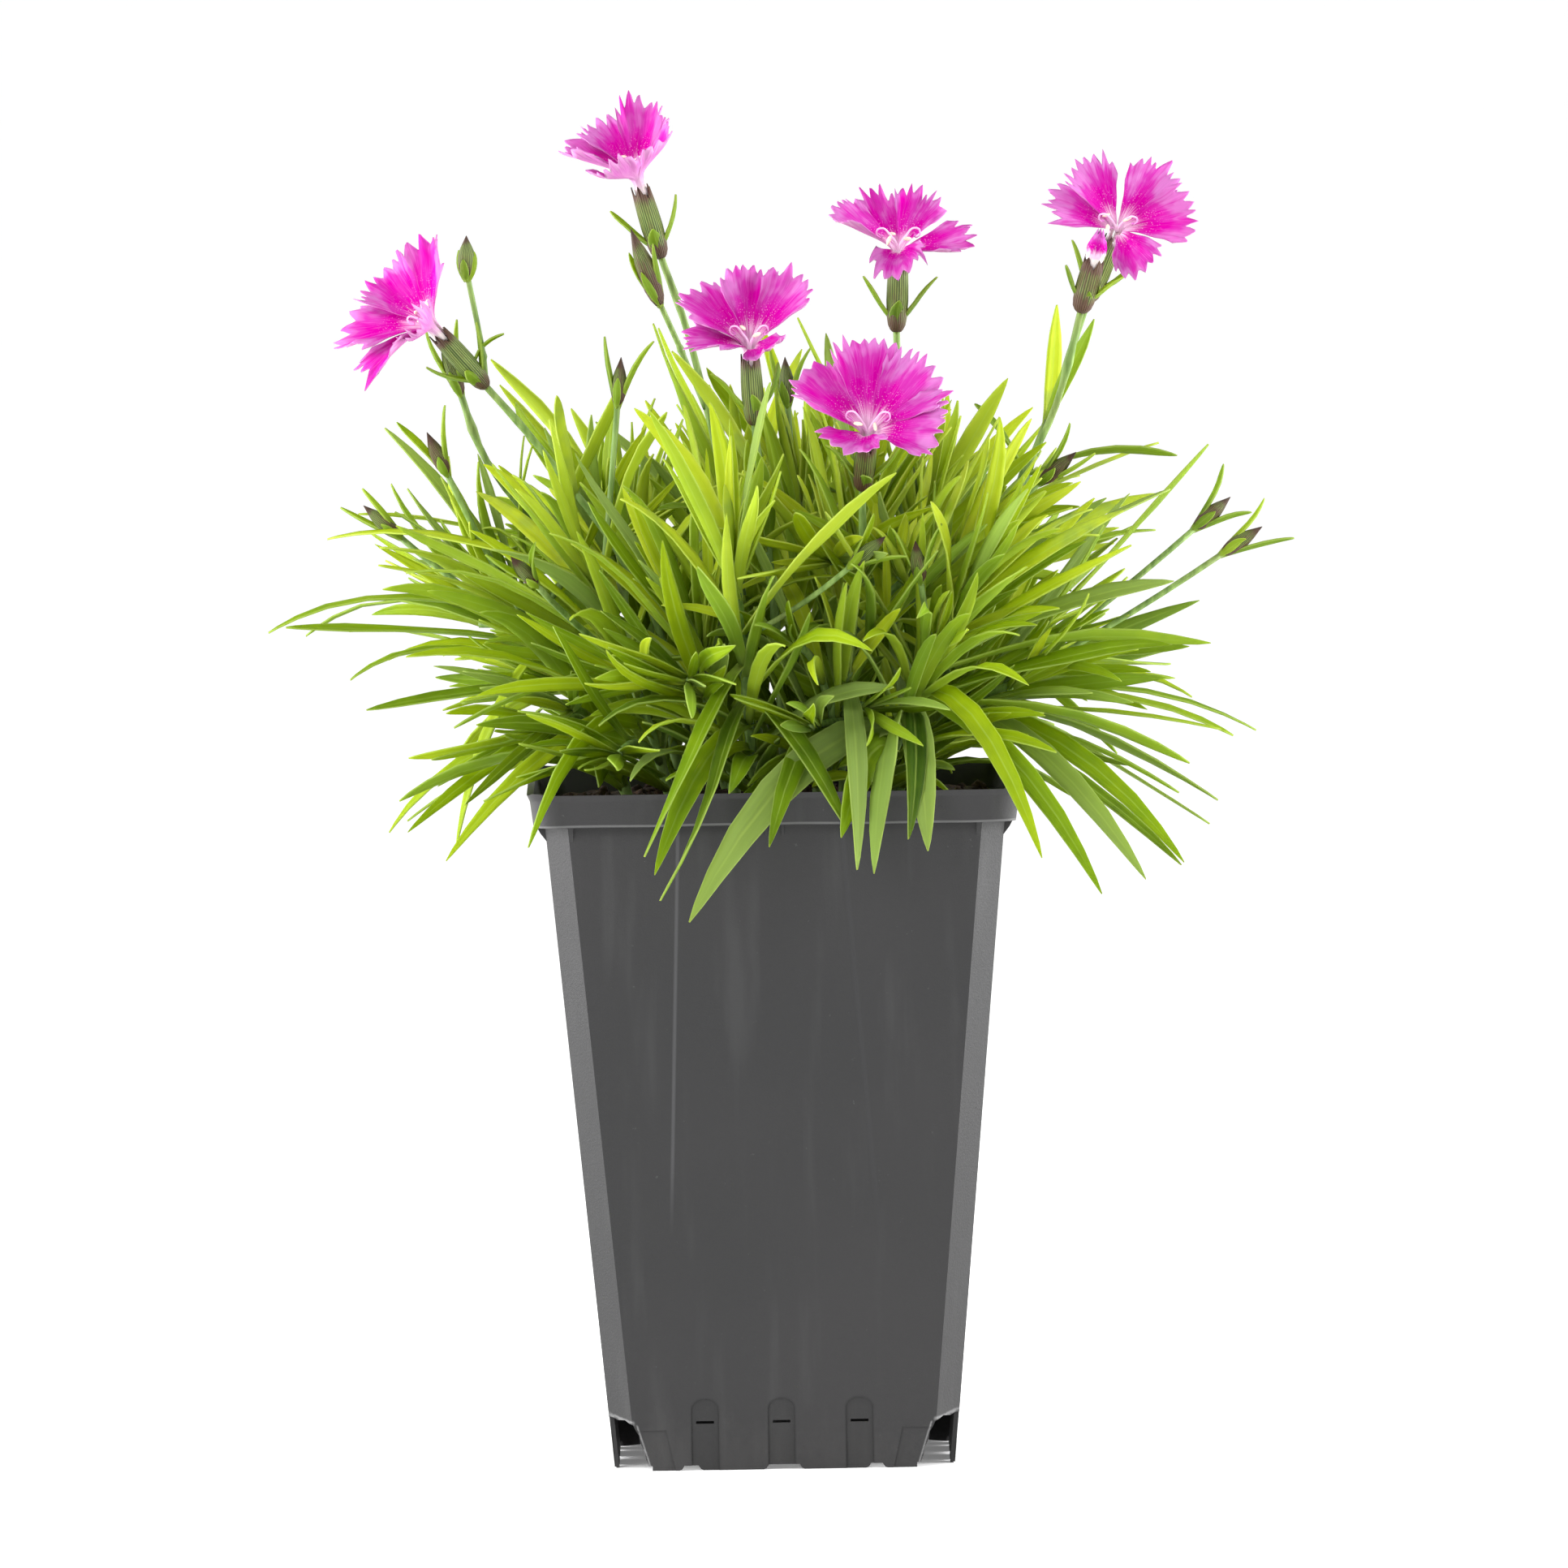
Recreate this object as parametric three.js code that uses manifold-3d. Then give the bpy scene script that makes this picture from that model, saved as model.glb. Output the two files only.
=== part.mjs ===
// A flowering dianthus plant standing in its square nursery pot.
// Millimetres, +Z up. The origin is under the middle of the pot, on the surface it stands on.
import * as THREE from 'three';
import { mergeVertices } from 'three/addons/utils/BufferGeometryUtils.js';
import Module from 'manifold-3d';

const wasm = await Module();
wasm.setup();

// ---------------------------------------------------------------- driving dimensions
const CLEARANCE = 0.3; // between pieces that touch in the real plant
const JOIN_TOLERANCE = 0.01;

const POT_HEIGHT = 125.5;
const RIM_HALF = 45.0;
const RIM_STEP_HALF = 44.4; // foot of the rim band
const RIM_BAND = 5.7;
const RIM_ROUND = 5.3;
const LIP_FLARE = 0.7;
const BODY_TOP_HALF = 42.3;
const BODY_FOOT_HALF = 31.45;
const BODY_CHAMFER = 4.2;
const WALL = 0.9;
const FLOOR_UNDER = 10.2;
const FLOOR_TOP = 11.2;
const CENTRE_FOOT_RADIUS = 6;
const DRAIN_RADIUS = 4;
const DRAIN_OFFSET = 16;
const FOOT_HEIGHT = 0.9;
const FOOT_NOTCHES = [[-17.2, 3.0], [-0.1, 6.1], [17.0, 2.5]]; // middle and width of each
const FLAP_HALF = 24.4;
const CHANNELS = [[-14.6, 5.1], [-0.5, 5.0], [13.9, 5.1]]; // middle and width of each
const CHANNEL_TOP = 13.4;
const CHANNEL_DEPTH = 0.4;
const SLOT_HEIGHT = 8.9;
const SLOT_GAP = 0.5;
const TICKS = [-4.4, -1.6, 1.4];

const SOIL_EDGE_TOP = 119.8;
const SOIL_DOME = 4.2;
const STEM_DEPTH = 7; // how far a stem stands in the soil

const SHOOT_COUNT = 17;
const SHOOT_RADIUS = 1.0;
const SHOOT_ROOT_SPREAD = 27;
const SHOOT_TIP_SPREAD = 2.0; // tip distance from the middle, as a multiple of the root's
const SHOOT_TIP_HIGH = 180;
const SHOOT_TIP_FALL = 20; // how much lower the outermost shoots end
const TUFT_EVERY = 3; // one shoot in so many stays low
const TUFT_FALL = 26; // how much lower it ends
const PAIRS_PER_SHOOT = 8;
const ATTEMPTS = 10; // tries at finding room for each leaf
const LEAF_WIDTH = 4.5;
const LIGHT_PULL = 0.34; // how strongly leaves turn up towards the light
const OUTER_LENGTH = 50; // from the root to the tip of most long outer leaves
const LEAF_FOLD = 0.22;
const LEAF_KEEL = 0.5;
const LEAF_STATIONS = [0, 0.3, 0.7, 1];
const LEAF_WIDEST = 0.35;
const LEAF_GAP = 0.45;
const LEAF_THICK = 0.55; // kept free on either side of a blade's middle
const ROOT_OFFSET = 0.35; // how far out from a stem's axis a leaf starts, as a share of its radius

const STALK_RADIUS = 0.65;
const STALK_STEPS = 7;
const STEM_SIDES = 5;
const CALYX_RADIUS = 2.2;
const CALYX_BORE = 1.55;
const CALYX_SHORT_OF_THROAT = 2.3;
const BRACT_WIDTH = 2.8;
const KNOB_RADIUS = 1.75;
const CLAW_RADIUS = 1.2;
const PETAL_THICKNESS = 0.6;
const PETAL_FOOT = 2; // so far out from the throat a petal rises steeply
const PETAL_KNEE = 9.2; // and from here on it bends outwards
const PETAL_TURNS = [0.35, 0.04, -0.1]; // what each of these three stretches adds to its cup angle
const PETAL_STEEPEST = 1.3;
const PETAL_SHOULDER = 2.6; // how much shorter a petal is at its sides
const PETAL_ROWS = [[0.9, 1.1, 2], [6.2, 0.86, 4]]; // way out, share of the fan's angle, points
const PETAL_TEETH = 7;
const PETAL_TOOTH = 1.5;
const PETAL_TILT = 11;
const STYLE_RADIUS = 0.35;
const STYLE_BORE = 0.8;

// Each flower: throat, calyx base, then the stem's way down to the soil; the way the corolla
// faces (lean to the right, tilt to the front) and the length of its petals. Each petal has its
// bearing around the throat, its cup angle and half its fan's angle, in degrees, and its share of
// the length.
const FLOWERS = [
  { name: 'left', throat: [-61.7, -12, 211], base: [-52.1, -6, 199.5],
    way: [[-41.5, -4, 186.8], [-22.7, -2, 158.5], [-12, 0, 128]], lean: -45, tilt: 27, reach: 16.6,
    petals: [[16, 38, 30, 0.98], [90, 34, 34, 0.96], [157, 30, 36, 1.04], [199, 24, 36, 0.98], [262, 24, 36, 0.74]] },
  { name: 'top', throat: [-23.5, 8, 236.8], base: [-19.4, 10, 222.1],
    way: [[-14.4, 10, 207], [-6, 8, 165], [-1, 7, 128]], lean: -16, tilt: 20, reach: 15.8,
    petals: [[54, 46, 30, 0.95], [118, 40, 30, 0.95], [172, 33, 36, 0.96], [246, 24, 36, 0.84], [324, 36, 34, 0.9]] },
  { name: 'middle', throat: [-3.3, -16, 206.3], base: [-2.6, -14, 192.1],
    way: [[-0.9, -13, 176.2], [1, -12, 150], [2, -10, 128]], lean: 0, tilt: 38, reach: 15.4,
    petals: [[33, 38, 30, 1.08], [92, 40, 29, 1.02], [157, 31, 36, 1.04], [208, 26, 36, 0.9], [298, 24, 36, 0.76]] },
  { name: 'rear', throat: [24.6, 16, 222.2], base: [24, 17, 207.4],
    way: [[24.2, 16, 172.5], [20, 16.5, 150], [13.5, 17, 128]], lean: 0, tilt: 35, reach: 14.8,
    petals: [[342, 16, 19, 1], [66, 16, 26, 0.95], [114, 13, 31, 0.95], [164, 27, 31, 1], [270, 22, 36, 0.85]] },
  { name: 'front', throat: [18.2, -38, 191], base: [17.1, -29.5, 180.7],
    way: [[16.8, -26, 167.5], [14, -22, 148], [12, -19, 128]], lean: 2, tilt: 44, reach: 17.4,
    petals: [[36, 34, 31, 1], [92, 35, 31, 1.04], [157, 31, 36, 1], [245, 27, 46, 0.72], [345, 25, 30, 0.94]] },
  { name: 'right', throat: [65, 4, 226.1], base: [59.5, 8, 212.9],
    way: [[53.2, 9, 195.1], [46.5, 9, 178], [25, 6, 128]], lean: 6, tilt: 60, reach: 15.2,
    petals: [[6, 24, 24, 1.06], [56, 24, 26, 1], [126, 24, 28, 0.97], [171, 22, 26, 0.97], [299, 24, 30, 0.88]] },
];

// Closed buds on side stems: bud base, bud tip, the way down to the flower stem that carries it.
const TALL_BUDS = [
  { name: 'left', base: [-55.3, -8, 220.2], tip: [-55.3, -8, 227.6],
    way: [[-52.5, -6.2, 205], [-52.1, -6, 199.8]], on: 'left' },
  { name: 'top', base: [-20, 6, 214.2], tip: [-25, 4, 227.9],
    way: [[-16, 8, 205], [-11.6, 9.4, 194]], on: 'top' },
];
const LONE_STALK = { base: [-57, 4, 198], tip: [-60.5, 3, 208.5],
  way: [[-52.3, 5, 185.1], [-30, 10, 155], [-16, 14, 128]] };
// Small buds among the leaves, each on a stalk of its own from the nearest shoot.
const LOW_BUDS = [
  [-27.8, -14, 196.5], [3.6, 8, 195], [-59.8, -8, 184], [-69, 6, 171.6], [-43.5, -34, 164.5],
  [50.5, 2, 180], [79, 4, 171], [84, -2, 166.5], [15, -44, 167.5], [27.5, -40, 164.5],
];
const LOW_BUD_LENGTH = 8.5;
const LOW_BUD_RADIUS = 1.6;

const OPENING_BUD = { tip: [61.3, -9.5, 226.3], neck: [60.6, -8.5, 221], base: [58, -6, 211.6],
  way: [[53.2, -3, 194.2], [45.4, -2, 177.7], [24, -5, 128]] };

// Tips of the long leaves that stand clear of the mound, with the arch of each and, where it isn't
// the usual one, the distance from root to tip.
const OUTER_LEAVES = [
  [-93.7, -4, 157.1, 14], [-84.3, 6, 173.5, 10], [-89.6, -16, 153.9, 8], [-77, 14, 177.8, 4],
  [-80, -24, 151.2, 12], [-67.4, -30, 155.8, 12], [-74.6, -12, 138.3, 12], [-59.5, -34, 138, 12],
  [-69.7, -20, 125.7, 16], [-60.4, -8, 115.4, 20], [-67.2, 4, 118.2, 20], [-69.2, -14, 174.2, 6],
  [-66.8, 16, 193, 3], [-66.7, -10, 180.7, 5], [-47.7, 24, 206, 2], [-46.9, 8, 198.7, 2],
  [82.5, 14, 183.9, 4], [74, -6, 179, 5], [71.4, 18, 186, 3], [92.9, 2, 172.6, 8],
  [95.8, 14, 167.4, 12], [73.8, -24, 164.7, 10], [80.4, -14, 153.8, 10], [73.7, -30, 148.7, 12],
  [78.1, 10, 143.7, 14], [89.7, -6, 133.6, 18], [85.5, 8, 134.5, 14], [76.4, -18, 128.9, 16],
  [81, 2, 118.6, 20], [74.5, -22, 121.4, 18], [78.5, 12, 112.2, 22], [71.7, -12, 106.8, 24],
  [65.6, -30, 102.9, 26], [51, -46, 111.8, 24, 42], [-17.4, -66, 104.8, 26, 46], [-21.6, -60, 114.5, 20, 34],
  [-18, -55, 120.5, 16, 27], [-5.6, -54, 126, 15, 30], [12.5, -55, 119.5, 18, 29], [18, -60, 112, 20, 34],
  [28.3, -57, 118, 19, 32], [-25.8, 4, 200.7, 2], [-43.2, -4, 192.6, 3], [-10.6, 12, 204.2, 2],
  [4.5, 10, 210, 2], [32.9, 0, 197.5, 2], [41.9, -8, 192.5, 2], [56.2, 6, 195.6, 3],
];

const degrees = Math.PI / 180;

// ---------------------------------------------------------------- small helpers
const vector = (x, y, z) => new THREE.Vector3(x, y, z);
const from = (list) => new THREE.Vector3(...list);

let seed = 20417;
// The next number of a fixed sequence, from 0 up to 1.
function draw() {
  seed = (seed * 1664525 + 1013904223) % 4294967296;
  return seed / 4294967296;
}
const between = (low, high) => low + (high - low) * draw();

function signedVolume(positions, index) {
  let volume = 0;
  for (let i = 0; i < index.length; i += 3) {
    const [a, b, c] = [0, 1, 2].map((k) => from(positions.slice(3 * index[i + k], 3 * index[i + k] + 3)));
    volume += a.dot(b.cross(c)) / 6;
  }
  return volume;
}

// A closed body from points and triangles, with its faces turned outwards.
function body(positions, index) {
  if (signedVolume(positions, index) < 0) {
    for (let i = 0; i < index.length; i += 3) {
      [index[i + 1], index[i + 2]] = [index[i + 2], index[i + 1]];
    }
  }
  const geometry = new THREE.BufferGeometry();
  geometry.setAttribute('position', new THREE.Float32BufferAttribute(positions, 3));
  geometry.setIndex(index);
  return geometry;
}

// A closed body through rings of equal point count; its far end is flat, or drawn to an apex.
function loft(rings, apex = null) {
  const count = rings[0].length;
  const positions = rings.flat().flatMap((p) => [p.x, p.y, p.z]);
  const index = [];
  for (let ring = 0; ring + 1 < rings.length; ring++) {
    for (let i = 0; i < count; i++) {
      const a = ring * count + i;
      const b = ring * count + ((i + 1) % count);
      index.push(a, b, b + count, a, b + count, a + count);
    }
  }
  const last = (rings.length - 1) * count;
  for (let i = 1; i + 1 < count; i++) {
    index.push(0, i + 1, i);
    if (!apex) index.push(last, last + i, last + i + 1);
  }
  if (apex) {
    positions.push(apex.x, apex.y, apex.z);
    for (let i = 0; i < count; i++) {
      index.push(last + i, last + ((i + 1) % count), last + count);
    }
  }
  return body(positions, index);
}

function solid(geometry) {
  const bare = geometry.clone();
  bare.deleteAttribute('normal');
  bare.deleteAttribute('uv');
  const merged = mergeVertices(bare, 1e-4);
  return new wasm.Manifold(new wasm.Mesh({
    numProp: 3,
    vertProperties: merged.attributes.position.array,
    triVerts: new Uint32Array(merged.index.array),
  }));
}

// The largest body of a joined solid: loose scraps are dropped, sealed hollows are filled and
// the slivers that the join left are merged.
function mainBody(joined) {
  const largest = joined.decompose().reduce((a, b) => (b.volume() > a.volume() ? b : a));
  return largest.asOriginal().simplify(JOIN_TOLERANCE);
}

function fuse(geometries) {
  return mainBody(wasm.Manifold.union(geometries.map(solid)));
}

function toGeometry(shape) {
  const mesh = shape.getMesh();
  const geometry = new THREE.BufferGeometry();
  const positions = [];
  for (let i = 0; i < mesh.vertProperties.length; i += mesh.numProp) {
    positions.push(...mesh.vertProperties.slice(i, i + 3));
  }
  geometry.setAttribute('position', new THREE.Float32BufferAttribute(positions, 3));
  geometry.setIndex(Array.from(mesh.triVerts));
  geometry.computeVertexNormals();
  return geometry;
}

// Moves a geometry made along +Z so that it starts at a point and runs along a direction.
function stand(geometry, at, direction) {
  const turn = new THREE.Quaternion().setFromUnitVectors(vector(0, 0, 1), direction.clone().normalize());
  return geometry.applyQuaternion(turn).translate(at.x, at.y, at.z);
}

function polygon(radius, sides) {
  const points = [];
  for (let i = 0; i < sides; i++) {
    const angle = (2 * Math.PI * i) / sides;
    points.push(new THREE.Vector2(radius * Math.cos(angle), radius * Math.sin(angle)));
  }
  return new THREE.Shape(points);
}

function tube(curve, radius, sides, steps) {
  return new THREE.ExtrudeGeometry(polygon(radius, sides), { steps, extrudePath: curve });
}

// ---------------------------------------------------------------- pot and soil
// A square ring with cut corners (bend 0) or round ones (bend 1); lift raises the corners.
function squareRing(half, corner, bend, z, flare = 0, lift = 0) {
  const ring = [];
  for (let quarter = 0; quarter < 4; quarter++) {
    for (let step = 0; step < 4; step++) {
      const f = step / 3;
      const angle = f * Math.PI / 2;
      const cut = [half - corner * f, half - corner * (1 - f)];
      const round = [half - corner + corner * Math.cos(angle), half - corner + corner * Math.sin(angle)];
      const share = Math.sin(angle * 2) * 0.6 + 0.4;
      const x = cut[0] + (round[0] - cut[0]) * bend + flare * share * Math.SQRT1_2;
      const y = cut[1] + (round[1] - cut[1]) * bend + flare * share * Math.SQRT1_2;
      const turn = quarter * Math.PI / 2;
      ring.push(vector(x * Math.cos(turn) - y * Math.sin(turn), x * Math.sin(turn) + y * Math.cos(turn),
        z + lift * share));
    }
  }
  return ring;
}

const bodyHalf = (z) => BODY_FOOT_HALF
  + (BODY_TOP_HALF - BODY_FOOT_HALF) * z / (POT_HEIGHT - RIM_BAND);

function box(x0, x1, y0, y1, z0, z1) {
  return new THREE.BoxGeometry(x1 - x0, y1 - y0, z1 - z0)
    .translate((x0 + x1) / 2, (y0 + y1) / 2, (z0 + z1) / 2);
}

// A shape drawn in the front view (x, z), extruded through y0 to y1.
function frontPrism(points, y0, y1) {
  const shape = new THREE.Shape(points.map(([x, z]) => new THREE.Vector2(x, z)));
  return new THREE.ExtrudeGeometry(shape, { depth: y1 - y0, bevelEnabled: false })
    .rotateX(Math.PI / 2)
    .translate(0, y1, 0);
}

function potOutside() {
  const stepZ = POT_HEIGHT - RIM_BAND;
  return loft([
    squareRing(BODY_FOOT_HALF, BODY_CHAMFER, 0, 0),
    squareRing(BODY_TOP_HALF, BODY_CHAMFER, 0, stepZ),
    squareRing(RIM_STEP_HALF, RIM_ROUND, 1, stepZ),
    squareRing(RIM_HALF, RIM_ROUND, 1, POT_HEIGHT - 0.8),
    squareRing(RIM_HALF, RIM_ROUND, 1, POT_HEIGHT, LIP_FLARE, LIP_FLARE),
  ]);
}

function potInside() {
  const stepZ = POT_HEIGHT - RIM_BAND + WALL;
  return loft([
    squareRing(bodyHalf(FLOOR_TOP) - WALL, BODY_CHAMFER, 0, FLOOR_TOP),
    squareRing(bodyHalf(stepZ) - WALL, BODY_CHAMFER, 0, stepZ),
    squareRing(RIM_STEP_HALF - WALL, RIM_ROUND - WALL / 2, 1, stepZ),
    squareRing(RIM_HALF - WALL, RIM_ROUND - WALL / 2, 1, POT_HEIGHT + 2, LIP_FLARE),
  ]);
}

function potUnderside() {
  const hollow = solid(loft([
    squareRing(bodyHalf(-1) - WALL, BODY_CHAMFER, 0, -1),
    squareRing(bodyHalf(FLOOR_UNDER) - WALL, BODY_CHAMFER, 0, FLOOR_UNDER),
  ]));
  const foot = new THREE.CylinderGeometry(CENTRE_FOOT_RADIUS, CENTRE_FOOT_RADIUS, FLOOR_UNDER + 2, 16)
    .rotateX(Math.PI / 2)
    .translate(0, 0, (FLOOR_UNDER + 2) / 2);
  return hollow.subtract(solid(foot));
}

// The cuts along the foot of one wall: notches between the feet, channels and drain slots.
function wallCuts(quarter) {
  const cuts = [];
  const outer = -BODY_FOOT_HALF - 3;
  const wallY = (z) => -bodyHalf(z);
  for (const [middle, width] of FOOT_NOTCHES) {
    cuts.push(box(middle - width / 2, middle + width / 2, outer, outer + 5, -1, FOOT_HEIGHT));
  }
  for (const side of [-1, 1]) {
    const ends = [side * FLAP_HALF, side * (BODY_FOOT_HALF - BODY_CHAMFER - 0.4)].sort((a, b) => a - b);
    cuts.push(box(ends[0], ends[1], outer, outer + 5, -1, FOOT_HEIGHT));
  }
  for (const [middle, width] of CHANNELS) {
    const half = width / 2;
    const arch = [[middle - half, FOOT_HEIGHT - 2], [middle + half, FOOT_HEIGHT - 2],
      [middle + half, CHANNEL_TOP - half], [middle + half * 0.5, CHANNEL_TOP],
      [middle - half * 0.5, CHANNEL_TOP], [middle - half, CHANNEL_TOP - half]];
    const lean = Math.atan((BODY_TOP_HALF - BODY_FOOT_HALF) / (POT_HEIGHT - RIM_BAND));
    cuts.push(frontPrism(arch, -3, CHANNEL_DEPTH).rotateX(lean).translate(0, wallY(0), 0));
    cuts.push(box(middle - half * 0.65, middle + half * 0.65, outer, outer + 6,
      SLOT_HEIGHT - SLOT_GAP / 2, SLOT_HEIGHT + SLOT_GAP / 2));
  }
  return cuts.map((cut) => solid(cut.rotateZ(quarter * Math.PI / 2)));
}

// The piece torn out of the skirt at one of the two front corners.
function tornCorner(side) {
  const outline = [[24.6, -1], [27.2, 7.8], [28.2, 9.2], [30.4, 9.7], [36, FLOOR_UNDER - 0.1], [36, -1]];
  const points = outline.map(([x, z]) => [side * x, z]);
  return solid(frontPrism(side > 0 ? points : points.reverse(), -40, -22.5));
}

function rimGussets() {
  const parts = [];
  const top = POT_HEIGHT - RIM_BAND + 0.3;
  for (let quarter = 0; quarter < 4; quarter++) {
    for (const side of [-1, 1]) {
      const x = side * (BODY_TOP_HALF - BODY_CHAMFER - 0.6);
      const wall = -BODY_TOP_HALF + 0.5;
      const web = new THREE.Shape([[wall, top], [wall - 2.2, top], [wall + 0.1, top - 3.2]]
        .map(([y, z]) => new THREE.Vector2(y, z)));
      parts.push(new THREE.ExtrudeGeometry(web, { depth: 0.8, bevelEnabled: false })
        .rotateX(Math.PI / 2)
        .rotateZ(Math.PI / 2)
        .translate(x - 0.4, 0, 0)
        .rotateZ(quarter * Math.PI / 2));
    }
  }
  for (const x of TICKS) {
    parts.push(box(x - 0.25, x + 0.25, -BODY_TOP_HALF - 0.35, -BODY_TOP_HALF + 0.6, top - 2.2, top));
  }
  return parts;
}

function makePot() {
  let pot = solid(potOutside()).subtract(solid(potInside())).subtract(potUnderside());
  for (let quarter = 0; quarter < 4; quarter++) {
    for (const cut of wallCuts(quarter)) pot = pot.subtract(cut);
  }
  for (const side of [-1, 1]) pot = pot.subtract(tornCorner(side));
  for (let quarter = 0; quarter < 4; quarter++) {
    const drain = new THREE.CylinderGeometry(DRAIN_RADIUS, DRAIN_RADIUS, 6, 12)
      .rotateX(Math.PI / 2)
      .translate(DRAIN_OFFSET, 0, FLOOR_TOP)
      .rotateZ((quarter + 0.5) * Math.PI / 2);
    pot = pot.subtract(solid(drain));
  }
  for (const part of rimGussets()) pot = pot.add(solid(part));
  return toGeometry(mainBody(pot));
}

// Height of the soil's surface.
function soilTop(x, y) {
  const reach = Math.max(Math.abs(x), Math.abs(y)) / RIM_HALF;
  return SOIL_EDGE_TOP + SOIL_DOME * (1 - reach * reach);
}

function makeSoil(stems) {
  const half = (z) => bodyHalf(z) - WALL - CLEARANCE;
  const edge = POT_HEIGHT - RIM_BAND - 1.2;
  const rings = [[FLOOR_TOP + CLEARANCE, 1], [edge, 1], [0, 0.7], [0, 0.36]].map(([z, share]) => {
    const ring = squareRing(half(z || edge) * share, BODY_CHAMFER * share, 0, z);
    if (z) return ring;
    return ring.map((p) => vector(p.x, p.y, soilTop(p.x, p.y) + between(-0.8, 0.6)));
  });
  let soil = solid(loft(rings));
  for (const stem of stems) {
    const foot = stem.curve.getPointAt(0);
    const direction = stem.curve.getPointAt(1 / stem.steps).sub(foot).normalize();
    const start = foot.addScaledVector(direction, -CLEARANCE);
    const radius = (stem.radius + CLEARANCE) / Math.cos(Math.PI / 6);
    const hole = new THREE.CylinderGeometry(radius, radius, 24, 6)
      .rotateX(Math.PI / 2)
      .translate(0, 0, 12);
    soil = soil.subtract(solid(stand(hole, start, direction)));
  }
  return toGeometry(mainBody(soil));
}

// ---------------------------------------------------------------- leaves
// Half of the blade's width at a share of its length.
function leafHalfWidth(t, width) {
  if (t < LEAF_WIDEST) return (width / 2) * (0.28 + 0.72 * Math.sin((t / LEAF_WIDEST) * Math.PI / 2));
  const past = (t - LEAF_WIDEST) / (1 - LEAF_WIDEST);
  return (width / 2) * (1 - past ** 2.6);
}

// A blade's midrib is root + t * start + t * t * bend; side is its width direction at the root.
// Each stop along it has its middle, its sideways and upward directions and its half width.
function blade(root, start, bend, up, width, twist, stations = LEAF_STATIONS) {
  return stations.map((t) => {
    const point = root.clone().addScaledVector(start, t).addScaledVector(bend, t * t);
    const along = start.clone().addScaledVector(bend, 2 * t).normalize();
    const flat = start.clone().cross(up).normalize();
    const level = flat.addScaledVector(along, -flat.dot(along)).normalize();
    const side = level.clone().multiplyScalar(Math.cos(twist * t));
    side.addScaledVector(level.cross(along), Math.sin(twist * t));
    return { point, side, normal: side.clone().cross(along), half: leafHalfWidth(t, width) };
  });
}

function bladeGeometry(stops, keel = LEAF_KEEL) {
  const rings = stops.slice(0, -1).map(({ point, side, normal, half }, i) => [
    point.clone().addScaledVector(side, -half).addScaledVector(normal, half * LEAF_FOLD),
    point.clone().addScaledVector(normal, i ? -keel : -keel * 0.6),
    point.clone().addScaledVector(side, half).addScaledVector(normal, half * LEAF_FOLD),
  ]);
  return loft(rings, stops.at(-1).point);
}

// ---------------------------------------------------------------- keeping pieces clear
// Every piece is remembered as straight stretches, each with a width across and a thickness.
const stretches = [];

function bladeStretches(stops, node) {
  const list = [];
  for (let i = 0; i + 1 < stops.length; i++) {
    const [a, b] = [stops[i], stops[i + 1]];
    const sides = [[a.side, a.half], [b.side, b.half]];
    list.push({ node, order: i, p: a.point, q: b.point, sides, thick: LEAF_THICK });
  }
  return list;
}

function tubeStretches(curve, radius, steps, node) {
  const points = curve.getPoints(steps);
  return points.slice(1).map((q, i) => ({ node, order: 0, p: points[i], q, sides: [], thick: radius }));
}

const clamp = (value) => Math.min(1, Math.max(0, value));

// The vector between the nearest points of two stretches.
function nearest(one, two) {
  const d1 = one.q.clone().sub(one.p);
  const d2 = two.q.clone().sub(two.p);
  const r = one.p.clone().sub(two.p);
  const [a, e, f, c, b] = [d1.dot(d1), d2.dot(d2), d2.dot(r), d1.dot(r), d1.dot(d2)];
  const spread = a * e - b * b;
  let s = spread > 1e-9 ? clamp((b * f - c * e) / spread) : 0;
  let t = (b * s + f) / e;
  if (t < 0) {
    t = 0;
    s = clamp(-c / a);
  } else if (t > 1) {
    t = 1;
    s = clamp((b - c) / a);
  }
  return r.addScaledVector(d1, s).addScaledVector(d2, -t);
}

function reachAcross(piece, way) {
  return Math.max(0, ...piece.sides.map(([side, half]) => half * Math.abs(side.dot(way))));
}

function tooNear(one, two) {
  const own = one.node === two.node;
  if (own && one.order < 1 && two.order < 1) return false;
  const gap = nearest(one, two);
  const distance = gap.length();
  if (distance > 7 + one.thick + two.thick) return false;
  gap.divideScalar(distance || 1);
  const need = reachAcross(one, gap) + reachAcross(two, gap) + one.thick + two.thick + (own ? 0 : LEAF_GAP);
  return distance < need;
}

// A leaf clears the rim that it crosses, the pot's outside and the soil.
function clearsPot({ point, half }) {
  const reach = Math.max(Math.abs(point.x), Math.abs(point.y));
  const spare = half + 1.6;
  if (reach < RIM_HALF - WALL - spare) return point.z > soilTop(point.x, point.y) + 1.2;
  if (reach < RIM_HALF + LIP_FLARE + spare) return point.z > POT_HEIGHT + LIP_FLARE + 1 + half * 0.6;
  return true;
}

function isClear(stops, node) {
  for (let i = 0; i + 1 < stops.length; i++) {
    for (const share of [0.2, 0.4, 0.6, 0.8, 1]) {
      const half = stops[i].half + (stops[i + 1].half - stops[i].half) * share;
      const point = stops[i].point.clone().lerp(stops[i + 1].point, share);
      if (!clearsPot({ point, half })) return false;
    }
  }
  return !bladeStretches(stops, node).some((one) => stretches.some((two) => tooNear(one, two)));
}

// ---------------------------------------------------------------- stems
function curveThrough(points) {
  return new THREE.CatmullRomCurve3(points.map((p) => (p.isVector3 ? p : from(p))), false, 'centripetal');
}

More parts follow.
